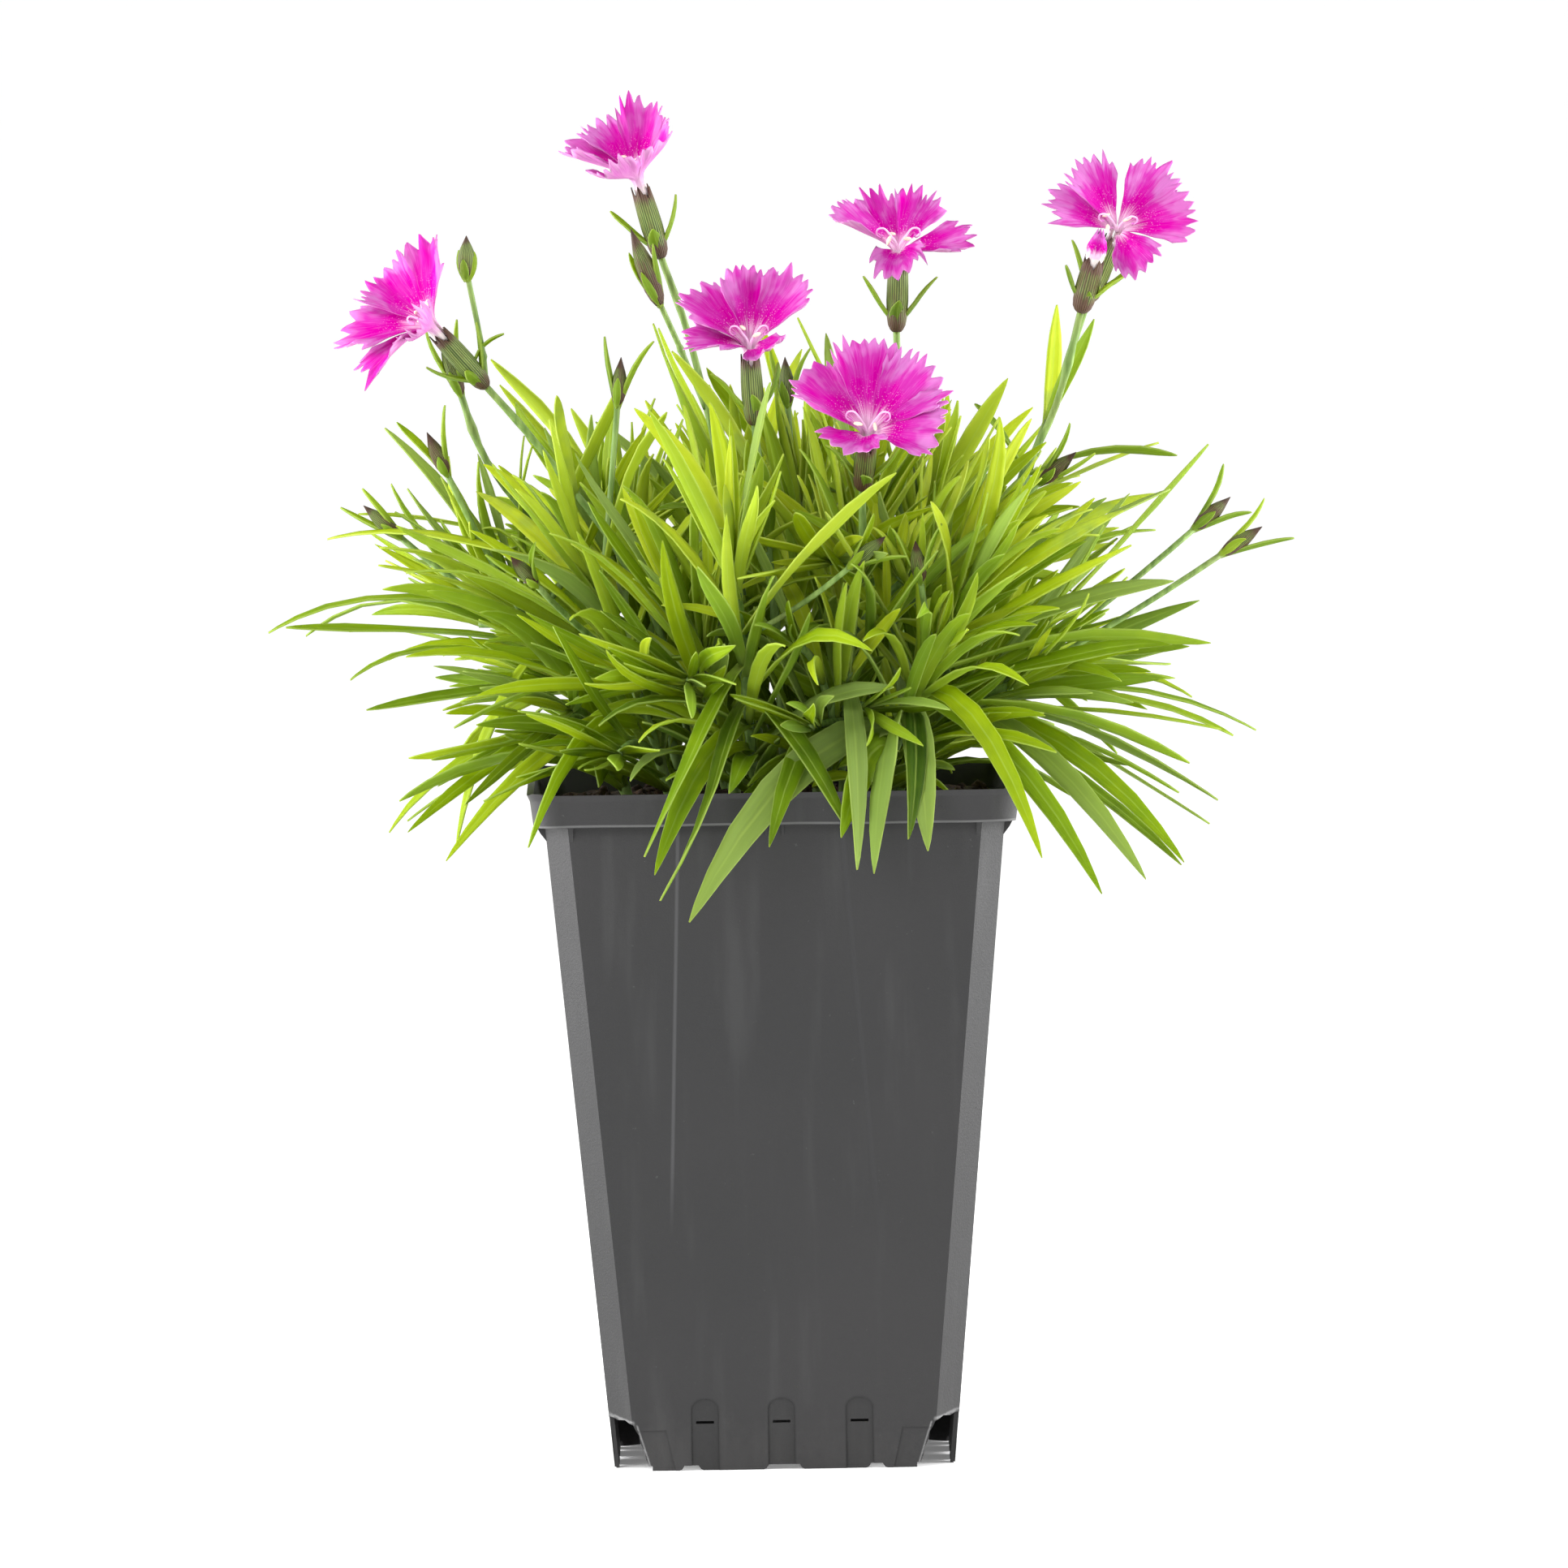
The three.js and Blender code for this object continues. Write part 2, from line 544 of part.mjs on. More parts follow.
// A stem's way, listed from its foot in the soil up to its top.
function stemCurve(way, top) {
  const foot = from(way.at(-1));
  foot.z = soilTop(foot.x, foot.y) - STEM_DEPTH;
  const sunk = from(way[0]).lerp(from(top), 0.12);
  return curveThrough([foot, ...way.slice(0, -1).reverse(), sunk]);
}

function shootCurve(k) {
  const share = Math.sqrt((k + 0.5) / SHOOT_COUNT);
  const angle = k * 137.508 * degrees + 0.9;
  const rootX = SHOOT_ROOT_SPREAD * share * Math.cos(angle);
  const rootY = SHOOT_ROOT_SPREAD * share * Math.sin(angle);
  const foot = vector(rootX, rootY, soilTop(rootX, rootY) - STEM_DEPTH);
  const knee = vector(rootX * 1.25, rootY * 1.25, 138);
  const fall = SHOOT_TIP_FALL * share * share + (k % TUFT_EVERY === 1 ? TUFT_FALL : 0);
  const tip = vector(rootX * SHOOT_TIP_SPREAD, rootY * SHOOT_TIP_SPREAD * 0.92,
    SHOOT_TIP_HIGH - fall + between(-4, 4));
  return new THREE.QuadraticBezierCurve3(foot, knee, tip);
}

// ---------------------------------------------------------------- growing the foliage
const plants = new Map(); // node name -> { curve, radius, blades, extras }

function addStem(node, curve, radius, steps) {
  plants.set(node, { curve, radius, steps, blades: [], extras: [] });
  stretches.push(...tubeStretches(curve, radius, steps * 2, node));
}

function keep(node, stops) {
  plants.get(node).blades.push(stops);
  stretches.push(...bladeStretches(stops, node));
}

// The small buds: each stalk leaves the shoot whose stem comes nearest below it.
function growLowBuds() {
  for (const place of LOW_BUDS) {
    const base = from(place);
    const roots = [];
    for (const [node, { curve, leafy }] of plants) {
      if (!leafy || leafy.size < 1) continue;
      for (const u of [0.55, 0.65, 0.75, 0.85]) {
        const root = curve.getPoint(u);
        roots.push({ node, root, miss: root.distanceTo(base) + Math.max(0, root.z - base.z + 14) * 3 });
      }
    }
    roots.sort((a, b) => a.miss - b.miss);
    for (const { node, root } of roots.slice(0, 24)) {
      const knee = root.clone().lerp(base, 0.5);
      knee.z -= 2;
      const stalk = new THREE.QuadraticBezierCurve3(root, knee, base);
      const way = stalk.getTangent(1);
      const tip = base.clone().addScaledVector(way, LOW_BUD_LENGTH);
      const sunk = base.clone().addScaledVector(way, 0.8);
      const reach = [...tubeStretches(stalk, STALK_RADIUS, 3, node),
        { node, order: 1, p: base, q: tip, sides: [], thick: LOW_BUD_RADIUS }];
      if (reach.some((one) => stretches.some((two) => one.node !== two.node && tooNear(one, two)))) continue;
      stretches.push(...reach);
      plants.get(node).extras.push(bud(base, tip, LOW_BUD_RADIUS, 5),
        tube(new THREE.QuadraticBezierCurve3(root, knee, sunk), STALK_RADIUS * 0.9, 4, 3));
      break;
    }
  }
}

// The long outer leaves: each grows from the shoot that fits its length best and leaves it room.
function growOuterLeaves() {
  for (const [x, y, z, arch, distance = OUTER_LENGTH] of OUTER_LEAVES) {
    const tip = vector(x, y, z);
    const roots = [];
    for (const [node, { curve, leafy }] of plants) {
      if (!leafy || leafy.size < 1) continue;
      for (const u of [0.3, 0.42, 0.54, 0.66, 0.78, 0.9]) {
        const root = curve.getPoint(u);
        roots.push({ node, root, miss: Math.abs(root.distanceTo(tip) - distance) });
      }
    }
    roots.sort((a, b) => a.miss - b.miss);
    const twist = between(-0.9, 0.9);
    const width = LEAF_WIDTH * between(0.85, 1.1);
    for (const { node, root, miss } of roots) {
      if (miss > 16) break;
      const lift = vector(0, 0, arch);
      const start = tip.clone().sub(root).add(lift);
      const stops = blade(root, start, lift.negate(), vector(0, 0, 1), width, twist);
      if (isClear(stops, node)) {
        keep(node, stops);
        break;
      }
    }
  }
}

// Pairs of leaves up each shoot, each pair at right angles to the last.
function growPairs() {
  for (let pair = 0; pair < PAIRS_PER_SHOOT; pair++) {
    for (const [node, { curve, radius, leafy, turn }] of plants) {
      if (!leafy || pair >= leafy.pairs) continue;
      const share = pair / Math.max(1, leafy.pairs - 1);
      const u = leafy.low + (leafy.high - leafy.low) * share;
      const root = curve.getPoint(u);
      const axis = curve.getTangent(u);
      for (const half of [0, 180]) {
        for (let attempt = 0; attempt < ATTEMPTS; attempt++) {
          const wander = 18 + attempt * 4;
          const azimuth = (turn + pair * 90 + half + between(-wander, wander)) * degrees;
          const spread = (64 - 38 * share + between(-12, 12)) * degrees;
          const shrink = leafy.size * (1 - attempt * 0.015);
          const length = (36 + 52 * share * (1 - share) + between(-5, 11)) * shrink;
          const droop = (0.4 - 0.3 * share + between(-0.1, 0.12)) * length;
          const sway = between(-0.12, 0.12) * length;
          const twist = between(-0.8, 0.8);
          const width = LEAF_WIDTH * between(0.78, 1.05) * Math.sqrt(leafy.size);
          const out = vector(Math.cos(azimuth), Math.sin(azimuth), 0);
          out.addScaledVector(axis, -out.dot(axis)).normalize();
          const start = axis.clone().multiplyScalar(Math.cos(spread));
          start.addScaledVector(out, Math.sin(spread));
          start.z += LIGHT_PULL;
          start.normalize();
          const across = start.clone().cross(axis).normalize();
          const bend = vector(0, 0, -droop).addScaledVector(across, sway);
          const socket = root.clone().addScaledVector(out, radius * ROOT_OFFSET);
          const stops = blade(socket, start.multiplyScalar(length), bend, axis, width, twist);
          if (isClear(stops, node)) {
            keep(node, stops);
            break;
          }
        }
      }
    }
  }
}

// ---------------------------------------------------------------- flowers
// A calyx of five joined sepals with pointed teeth and a blind bore for the petals' claws.
function calyx(base, throat, height) {
  const ring = (radius, low, high) => Array.from({ length: 10 }, (_, i) => {
    const angle = (i * Math.PI) / 5;
    return vector(radius * Math.cos(angle), radius * Math.sin(angle), i % 2 ? low : high);
  });
  const rings = [ring(0.95, 0, 0), ring(CALYX_RADIUS * 0.86, height * 0.14, height * 0.14),
    ring(CALYX_RADIUS, height * 0.5, height * 0.5), ring(CALYX_RADIUS * 0.94, height * 0.8, height),
    ring(CALYX_BORE, height * 0.78, height - 0.3), ring(CALYX_BORE, height * 0.6, height * 0.6)];
  return stand(loft(rings), base, throat.clone().sub(base));
}

// A closed bud: a long drop that ends in a point.
function bud(base, tip, girth, sides = 7) {
  const height = tip.distanceTo(base);
  const ring = (radius, z) => Array.from({ length: sides }, (_, i) => {
    const angle = (i * 2 * Math.PI) / sides;
    return vector(radius * Math.cos(angle), radius * Math.sin(angle), z * height);
  });
  const profile = [[0.4, -0.04], [0.9, 0.16], [1, 0.45], [0.5, 0.82]];
  const rings = profile.map(([share, z]) => ring(girth * share, z));
  return stand(loft(rings, vector(0, 0, height)), base, tip.clone().sub(base));
}

// The two bracts that spread from the foot of a calyx.
function bracts(base, axis, size) {
  const list = [];
  const across = vector(0, 1, 0).cross(axis).normalize();
  const foot = base.clone().addScaledVector(axis, 0.9);
  for (const side of [-1, 1]) {
    const way = across.clone().multiplyScalar(side);
    const start = axis.clone().addScaledVector(way, 0.95).multiplyScalar(9.5 * size);
    const bend = way.clone().multiplyScalar(-2.7 * size);
    list.push(bladeGeometry(blade(foot, start, bend, axis, BRACT_WIDTH, 0, [0, 0.5, 1]), 0.6));
  }
  return list;
}

function corollaFrame({ lean, tilt }) {
  const normal = vector(
    Math.sin(lean * degrees) * Math.cos(tilt * degrees),
    -Math.sin(tilt * degrees),
    Math.cos(lean * degrees) * Math.cos(tilt * degrees),
  );
  const back = vector(0, 1, 0).addScaledVector(normal, -normal.y).normalize();
  const right = back.clone().cross(normal);
  return { normal, back, right };
}

// A point of a petal: r is the way out from the throat and psi the turn from its midline.
function petalPoint(flower, frame, [bearing, cupDegrees], r, psi, offset) {
  const cup = cupDegrees * degrees;
  const lengths = [PETAL_FOOT, PETAL_KNEE - PETAL_FOOT, Infinity];
  let [left, q, h] = [r, 0, 0];
  for (const [stretch, length] of lengths.entries()) {
    const angle = Math.min(cup + PETAL_TURNS[stretch], PETAL_STEEPEST);
    const way = Math.min(left, length);
    q += way * Math.cos(angle);
    h += way * Math.sin(angle);
    left -= way;
  }
  const wrap = Math.min(1.5, 1 / Math.cos(cup));
  const azimuth = bearing * degrees + psi * wrap;
  const out = frame.right.clone().multiplyScalar(Math.cos(azimuth));
  out.addScaledVector(frame.back, Math.sin(azimuth));
  const face = frame.normal.clone().multiplyScalar(Math.cos(cup)).addScaledVector(out, -Math.sin(cup));
  const rise = offset + r * Math.sin(psi) * Math.tan(PETAL_TILT * degrees);
  const point = from(flower.throat).addScaledVector(out, q).addScaledVector(frame.normal, h);
  return point.addScaledVector(face, rise);
}

// Joins two rows of points, of any counts, with triangles.
function zip(first, second, index, flip) {
  let [i, j] = [0, 0];
  while (i + 1 < first.length || j + 1 < second.length) {
    const stepFirst = j + 1 >= second.length
      || (i + 1 < first.length && (i + 0.5) / (first.length - 1) < (j + 0.5) / (second.length - 1));
    const triangle = stepFirst ? [first[i], first[i + 1], second[j]] : [first[i], second[j + 1], second[j]];
    index.push(...(flip ? triangle.reverse() : triangle));
    if (stepFirst) i++;
    else j++;
  }
}

function petal(flower, frame, spec) {
  const half = spec[2] * degrees;
  const reach = flower.reach * spec[3];
  const rows = PETAL_ROWS.map(([r, share, count]) => (
    Array.from({ length: count }, (_, i) => [r, half * share * ((2 * i) / (count - 1) - 1)])));
  const outer = [];
  for (let i = 0; i <= 2 * PETAL_TEETH; i++) {
    const psi = half * (i / PETAL_TEETH - 1);
    const tooth = i % 2 ? PETAL_TOOTH : 0;
    outer.push([reach - PETAL_TOOTH * 0.7 + tooth - PETAL_SHOULDER * Math.abs(psi / half) ** 2.4, psi]);
  }
  rows.push(outer);
  const positions = [];
  const faces = [1, -1].map((side) => rows.map((row) => row.map(([r, psi]) => {
    const p = petalPoint(flower, frame, spec, r, psi, side * PETAL_THICKNESS / 2);
    positions.push(p.x, p.y, p.z);
    return positions.length / 3 - 1;
  })));
  const index = [];
  faces.forEach((side, face) => {
    for (let k = 0; k + 1 < side.length; k++) zip(side[k], side[k + 1], index, face === 1);
  });
  const edge = ([root, middleRow, fringe]) => (
    [...root, middleRow.at(-1), ...fringe.toReversed(), middleRow[0]]);
  const [top, under] = faces.map(edge);
  top.forEach((a, i) => {
    const j = (i + 1) % top.length;
    index.push(a, under[i], under[j], a, under[j], top[j]);
  });
  return body(positions, index);
}

function makeCorolla(flower) {
  const frame = corollaFrame(flower);
  const throat = from(flower.throat);
  const axis = throat.clone().sub(from(flower.base)).normalize();
  const parts = [new THREE.SphereGeometry(KNOB_RADIUS, 7, 4).translate(throat.x, throat.y, throat.z)];
  const claws = new THREE.CylinderGeometry(CLAW_RADIUS, CLAW_RADIUS, 6, 6)
    .rotateX(Math.PI / 2)
    .translate(0, 0, -3);
  parts.push(stand(claws, throat, axis));
  for (const spec of flower.petals) parts.push(petal(flower, frame, spec));
  const bore = new THREE.CylinderGeometry(STYLE_BORE, STYLE_BORE, 8, 7)
    .rotateX(Math.PI / 2)
    .translate(0, 0, 3);
  return toGeometry(mainBody(fuse(parts).subtract(solid(stand(bore, throat, frame.normal)))));
}

// Two styles on one foot, each curling outwards at its end.
function makeStyles(flower) {
  const { normal, right, back } = corollaFrame(flower);
  const foot = from(flower.throat).addScaledVector(normal, -0.6);
  const steepest = Math.max(...flower.petals.map(([, cup]) => cup)) * degrees;
  const spread = Math.min(4, 2.6 / Math.tan(steepest + 0.1) - 0.7);
  const at = (up, across, behind) => foot.clone()
    .addScaledVector(normal, up)
    .addScaledVector(right, across)
    .addScaledVector(back, behind);
  const styles = [-1, 1].map((side) => tube(curveThrough([
    at(0, 0, 0), at(2.4, side * 0.1, 0), at(5, side * 0.3 * spread, 0.4),
    at(6.6, side * 0.7 * spread, 0.6), at(5.8, side * spread, 0.3),
  ]), STYLE_RADIUS, 3, 4));
  const peg = new THREE.CylinderGeometry(0.5, 0.5, 2.4, 5).rotateX(Math.PI / 2).translate(0, 0, 1.2);
  return toGeometry(fuse([stand(peg, foot, normal), ...styles]));
}

// A few crumpled petal tips that push out of an opening bud.
function makeBudPetals() {
  const [tip, neck, base] = [from(OPENING_BUD.tip), from(OPENING_BUD.neck), from(OPENING_BUD.base)];
  const length = tip.distanceTo(neck);
  const ring = (radius, z, turn) => Array.from({ length: 9 }, (_, i) => {
    const angle = (i * 2 * Math.PI) / 9 + turn;
    const crumple = i % 3 ? 1 : 0.78;
    return vector(radius * crumple * Math.cos(angle), radius * crumple * Math.sin(angle), z);
  });
  const rings = [ring(CLAW_RADIUS, -3.4, 0), ring(CLAW_RADIUS, -0.4, 0), ring(1.95, length * 0.3, 0.35),
    ring(1.8, length * 0.65, 0.7), ring(0.9, length, 1.05)];
  return stand(loft(rings), neck, tip.clone().sub(base));
}

// ---------------------------------------------------------------- putting it together
const leafGreen = new THREE.MeshStandardMaterial({ color: 0x7fae1e, roughness: 0.5, metalness: 0 });
const stalkGreen = new THREE.MeshStandardMaterial({ color: 0x5f7a45, roughness: 0.55, metalness: 0 });
const magenta = new THREE.MeshStandardMaterial({ color: 0xe100b4, roughness: 0.6, metalness: 0 });
const cream = new THREE.MeshStandardMaterial({ color: 0xf0d8e6, roughness: 0.6, metalness: 0 });
const anthracite = new THREE.MeshStandardMaterial({ color: 0x464646, roughness: 0.55, metalness: 0 });
const peat = new THREE.MeshStandardMaterial({ color: 0x2b1f18, roughness: 0.95, metalness: 0 });

for (let k = 0; k < SHOOT_COUNT; k++) {
  const node = `leafy_shoot_${k + 1}`;
  addStem(node, shootCurve(k), SHOOT_RADIUS, 4);
  plants.get(node).leafy = { pairs: PAIRS_PER_SHOOT, low: 0.21, high: 0.97, size: 1 };
  plants.get(node).turn = between(0, 90);
}
for (const flower of FLOWERS) {
  const node = `flower_stem_${flower.name}`;
  addStem(node, stemCurve([flower.base, ...flower.way], flower.throat), STALK_RADIUS, STALK_STEPS);
  plants.get(node).leafy = { pairs: 2, low: 0.28, high: 0.42, size: 0.75 };
  plants.get(node).turn = between(0, 90);
  const [throat, base] = [from(flower.throat), from(flower.base)];
  const axis = throat.clone().sub(base).normalize();
  plants.get(node).extras.push(calyx(base, throat, throat.distanceTo(base) - CALYX_SHORT_OF_THROAT),
    ...bracts(base, axis, 1));
  const centre = throat.clone().addScaledVector(corollaFrame(flower).normal, 5);
  stretches.push({ node: 'bloom', order: 1, p: base, q: throat, sides: [], thick: 4.5 });
  stretches.push({ node: 'bloom', order: 1, p: throat, q: centre, sides: [], thick: flower.reach - 1 });
}
for (const { name, base, tip, way, on } of TALL_BUDS) {
  const extras = plants.get(`flower_stem_${on}`).extras;
  extras.push(bud(from(base), from(tip), 1.9));
  extras.push(tube(curveThrough([...way].reverse().concat([base])), STALK_RADIUS * 0.8, 6, 5));
  stretches.push({ node: 'bloom', order: 1, p: from(base), q: from(tip), sides: [], thick: 2.4 });
  stretches.push({ node: 'bloom', order: 1, p: from(way.at(-1)), q: from(base), sides: [], thick: 1.5 });
}
const loneWay = [LONE_STALK.base, ...LONE_STALK.way];
addStem('bud_stalk', stemCurve(loneWay, LONE_STALK.tip), STALK_RADIUS, STALK_STEPS);
plants.get('bud_stalk').extras.push(bud(from(LONE_STALK.base), from(LONE_STALK.tip), 1.7));
const openingWay = [OPENING_BUD.base, ...OPENING_BUD.way];
addStem('opening_bud_stem', stemCurve(openingWay, OPENING_BUD.neck), STALK_RADIUS, STALK_STEPS);
{
  const [neck, base] = [from(OPENING_BUD.neck), from(OPENING_BUD.base)];
  const axis = neck.clone().sub(base).normalize();
  const parts = [calyx(base, neck, neck.distanceTo(base) + 0.2), ...bracts(base, axis, 0.8)];
  plants.get('opening_bud_stem').extras.push(...parts);
  stretches.push({ node: 'bloom', order: 1, p: base, q: from(OPENING_BUD.tip), sides: [], thick: 3.5 });
}
growLowBuds();
growOuterLeaves();
growPairs();

const group = new THREE.Group();
function addMesh(name, geometry, material) {
  const mesh = new THREE.Mesh(geometry, material);
  mesh.name = name;
  group.add(mesh);
}
addMesh('pot', makePot(), anthracite);
addMesh('soil', makeSoil([...plants.values()]), peat);
for (const [node, { curve, radius, steps, blades, extras }] of plants) {
  const stem = tube(curve, radius, STEM_SIDES, steps);
  const parts = [stem, ...extras, ...blades.map((stops) => bladeGeometry(stops))];
  addMesh(node, toGeometry(fuse(parts)), node.startsWith('leafy') ? leafGreen : stalkGreen);
}
for (const flower of FLOWERS) {
  addMesh(`corolla_${flower.name}`, makeCorolla(flower), magenta);
  addMesh(`styles_${flower.name}`, makeStyles(flower), cream);
}
addMesh('opening_bud_petals', makeBudPetals(), magenta);

export default group;
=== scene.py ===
# %% [markdown]
# # A flowering dianthus in its pot
# This lesson dresses a plain construction model: a square nursery pot, its soil, seventeen leafy
# shoots and six fringed blooms. The construction model comes in as a frame of named solids, and
# every new piece takes the place of one or more of them, so nothing has to be fitted afterwards.

# %% Load the frame and measure it
import math
import bpy
import numpy as np
from mathutils import Matrix, Vector


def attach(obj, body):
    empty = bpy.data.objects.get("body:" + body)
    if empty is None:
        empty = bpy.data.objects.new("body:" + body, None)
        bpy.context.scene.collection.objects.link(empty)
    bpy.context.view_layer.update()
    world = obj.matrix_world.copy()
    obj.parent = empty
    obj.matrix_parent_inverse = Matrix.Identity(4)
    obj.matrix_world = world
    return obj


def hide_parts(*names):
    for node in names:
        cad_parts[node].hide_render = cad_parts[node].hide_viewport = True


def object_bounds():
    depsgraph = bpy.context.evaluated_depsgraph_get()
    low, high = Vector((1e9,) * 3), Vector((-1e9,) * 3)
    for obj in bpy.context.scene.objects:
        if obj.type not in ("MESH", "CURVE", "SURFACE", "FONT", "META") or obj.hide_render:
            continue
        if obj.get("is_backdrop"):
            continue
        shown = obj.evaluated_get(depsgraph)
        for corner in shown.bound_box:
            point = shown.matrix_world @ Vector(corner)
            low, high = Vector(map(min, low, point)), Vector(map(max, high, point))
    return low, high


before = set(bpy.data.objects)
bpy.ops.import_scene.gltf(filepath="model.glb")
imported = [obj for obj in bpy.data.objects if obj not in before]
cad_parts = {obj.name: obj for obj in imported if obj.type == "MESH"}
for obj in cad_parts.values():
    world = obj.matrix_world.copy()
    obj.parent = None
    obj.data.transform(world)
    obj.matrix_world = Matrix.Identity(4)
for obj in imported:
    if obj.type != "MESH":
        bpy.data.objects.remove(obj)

construction_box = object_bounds()
print("construction box, mm:", [[round(c * 1000, 1) for c in corner] for corner in construction_box])

# %% [markdown]
# ## Camera
# The plant is seen almost level, from far away with a long lens, so near and far blooms keep their
# sizes. The camera is placed from its own three axes: right, up and the way it looks, turned
# a little about the last, because a hand-held camera is never quite level.

# %% Place the camera
MM = 0.001
ELEVATION = math.radians(3.5)
ROLL = math.radians(0.9)
PICTURE_PIXELS = 1932
MM_PER_PIXEL = 0.1505
DISTANCE = 6000
ORIGIN_PIXEL = (967, 1793)  # where the point under the pot's middle lies in the picture

level_up = Vector((0, math.sin(ELEVATION), math.cos(ELEVATION)))
camera_right = Vector((1, 0, 0)) * math.cos(ROLL) - level_up * math.sin(ROLL)
camera_up = Vector((1, 0, 0)) * math.sin(ROLL) + level_up * math.cos(ROLL)
camera_back = camera_right.cross(camera_up)

camera_data = bpy.data.cameras.new("plant_camera")
camera = bpy.data.objects.new("plant_camera", camera_data)
bpy.context.scene.collection.objects.link(camera)
bpy.context.scene.camera = camera
camera_data.sensor_width = 36
camera_data.lens = 36 * DISTANCE / (PICTURE_PIXELS * MM_PER_PIXEL)
camera_data.clip_start = 0.1
camera_data.clip_end = 100
middle = PICTURE_PIXELS / 2
aim = (camera_right * (middle - ORIGIN_PIXEL[0]) + camera_up * (ORIGIN_PIXEL[1] - middle)) * MM_PER_PIXEL
place = (aim + camera_back * DISTANCE) * MM
turn = Matrix((camera_right, camera_up, camera_back)).transposed()
camera.matrix_world = Matrix.Translation(place) @ turn.to_4x4()
print("lens, mm:", round(camera_data.lens, 1))

# %% [markdown]
# ## Floor and light
# A product table: a white sheet that runs level under the pot and bends up far behind it, so no edge shows.
# One broad lamp from the upper left gives the leaves their bright and dark sides, two level lamps at either
# side lift the shadows, and a bright sky keeps them soft.

# %% Floor and light
def deselect():
    bpy.ops.object.select_all(action="DESELECT")


def edit(piece):
    """Opens a piece in edit mode with nothing selected."""
    deselect()
    piece.select_set(True)
    bpy.context.view_layer.objects.active = piece
    bpy.ops.object.mode_set(mode="EDIT")
    bpy.ops.mesh.select_all(action="DESELECT")


def close_edit():
    bpy.ops.object.mode_set(mode="OBJECT")


def move(way):
    """Moves what is selected in edit mode."""
    bpy.ops.transform.translate(value=way)


def resize(shares, centre=(0, 0, 0)):
    """Resizes what is selected in edit mode about a centre."""
    bpy.ops.transform.resize(value=shares, center_override=centre)


def extrude(way):
    """Extrudes what is selected in edit mode."""
    bpy.ops.mesh.extrude_region_move(TRANSFORM_OT_translate={"value": way})


def select_all():
    bpy.ops.mesh.select_all(action="SELECT")


def apply_place():
    """Moves the active piece's origin back to the middle of the scene."""
    bpy.ops.object.transform_apply(location=True, rotation=False, scale=False)


def add_shape(add_primitive, name=None, **sizes):
    """Adds one of Blender's own shapes and names it."""
    deselect()
    add_primitive(**sizes)
    piece = bpy.context.object
    if name:
        piece.name = piece.data.name = name
    return piece


def select_points(piece, rule, kind="VERT"):
    """In edit mode, selects the vertices, edges or faces whose middle meets a rule, and no others."""
    bpy.ops.object.mode_set(mode="OBJECT")
    mesh = piece.data
    for group in (mesh.polygons, mesh.edges, mesh.vertices):
        for element in group:
            element.select = False
    if kind == "VERT":
        chosen = [v for v in mesh.vertices if rule(v.co)]
    elif kind == "EDGE":
        chosen = [e for e in mesh.edges if rule(*(mesh.vertices[i].co for i in e.vertices))]
    else:
        chosen = [f for f in mesh.polygons if rule(f.center, f.normal)]
    for element in chosen:
        element.select = True
    # The kind of selection is set first, or edit mode would also take the edges between two chosen ones.
    bpy.context.tool_settings.mesh_select_mode = [kind == name for name in ("VERT", "EDGE", "FACE")]
    bpy.ops.object.mode_set(mode="EDIT")
    return len(chosen)


def apply_modifier(piece, kind, **settings):
    deselect()
    piece.select_set(True)
    bpy.context.view_layer.objects.active = piece
    modifier = piece.modifiers.new(kind.lower(), kind)
    for key, value in settings.items():
        setattr(modifier, key, value)
    bpy.ops.object.modifier_apply(modifier=modifier.name)


table = add_shape(bpy.ops.mesh.primitive_plane_add, size=2, location=(0, 0, 0))
table.name = "table_sheet"
table.scale = (6, 6, 1)
bpy.ops.object.transform_apply(location=True, rotation=False, scale=True)
edit(table)
select_points(table, lambda a, b: a.y > 5 and b.y > 5, "EDGE")
for rise, run in ((0.12, 0.8), (0.5, 0.9), (1.4, 0.9), (3.0, 0.6), (6.0, 0.2)):
    extrude((0, run, rise))
close_edit()
bpy.ops.object.shade_smooth()
table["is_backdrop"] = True


def add_lamp(place, size, energy, shape="SQUARE"):
    """A broad lamp that faces the middle of the plant."""
    deselect()
    bpy.ops.object.light_add(type="AREA", location=place)
    lamp = bpy.context.object
    lamp.data.shape = shape
    lamp.data.size = size
    lamp.data.energy = energy
    lamp.rotation_euler = (Vector((0, 0, 0.15)) - lamp.location).to_track_quat("-Z", "Y").to_euler()


add_lamp((-0.75, -1.15, 1.05), 0.9, 18, "DISK")
for side, energy in ((-1, 30), (1, 34)):
    add_lamp((side * 1.0, 0.1, 0.15), 1.0, energy)

sky = bpy.data.worlds.new("studio_sky")
sky.use_nodes = True
sky.node_tree.nodes["Background"].inputs["Color"].default_value = (1, 1, 1, 1)
sky.node_tree.nodes["Background"].inputs["Strength"].default_value = 0.9
bpy.context.scene.world = sky
bpy.context.scene.view_settings.view_transform = "Standard"

# %% [markdown]
# ## A small language for finishes
# A finish is a graph of nodes, and sums are its smallest parts. The class Wire stands for the end of
# one wire, and adding, multiplying or subtracting wires adds the Math nodes, so a mask reads
# like arithmetic. The class Finish holds one material; its method add makes any other node.

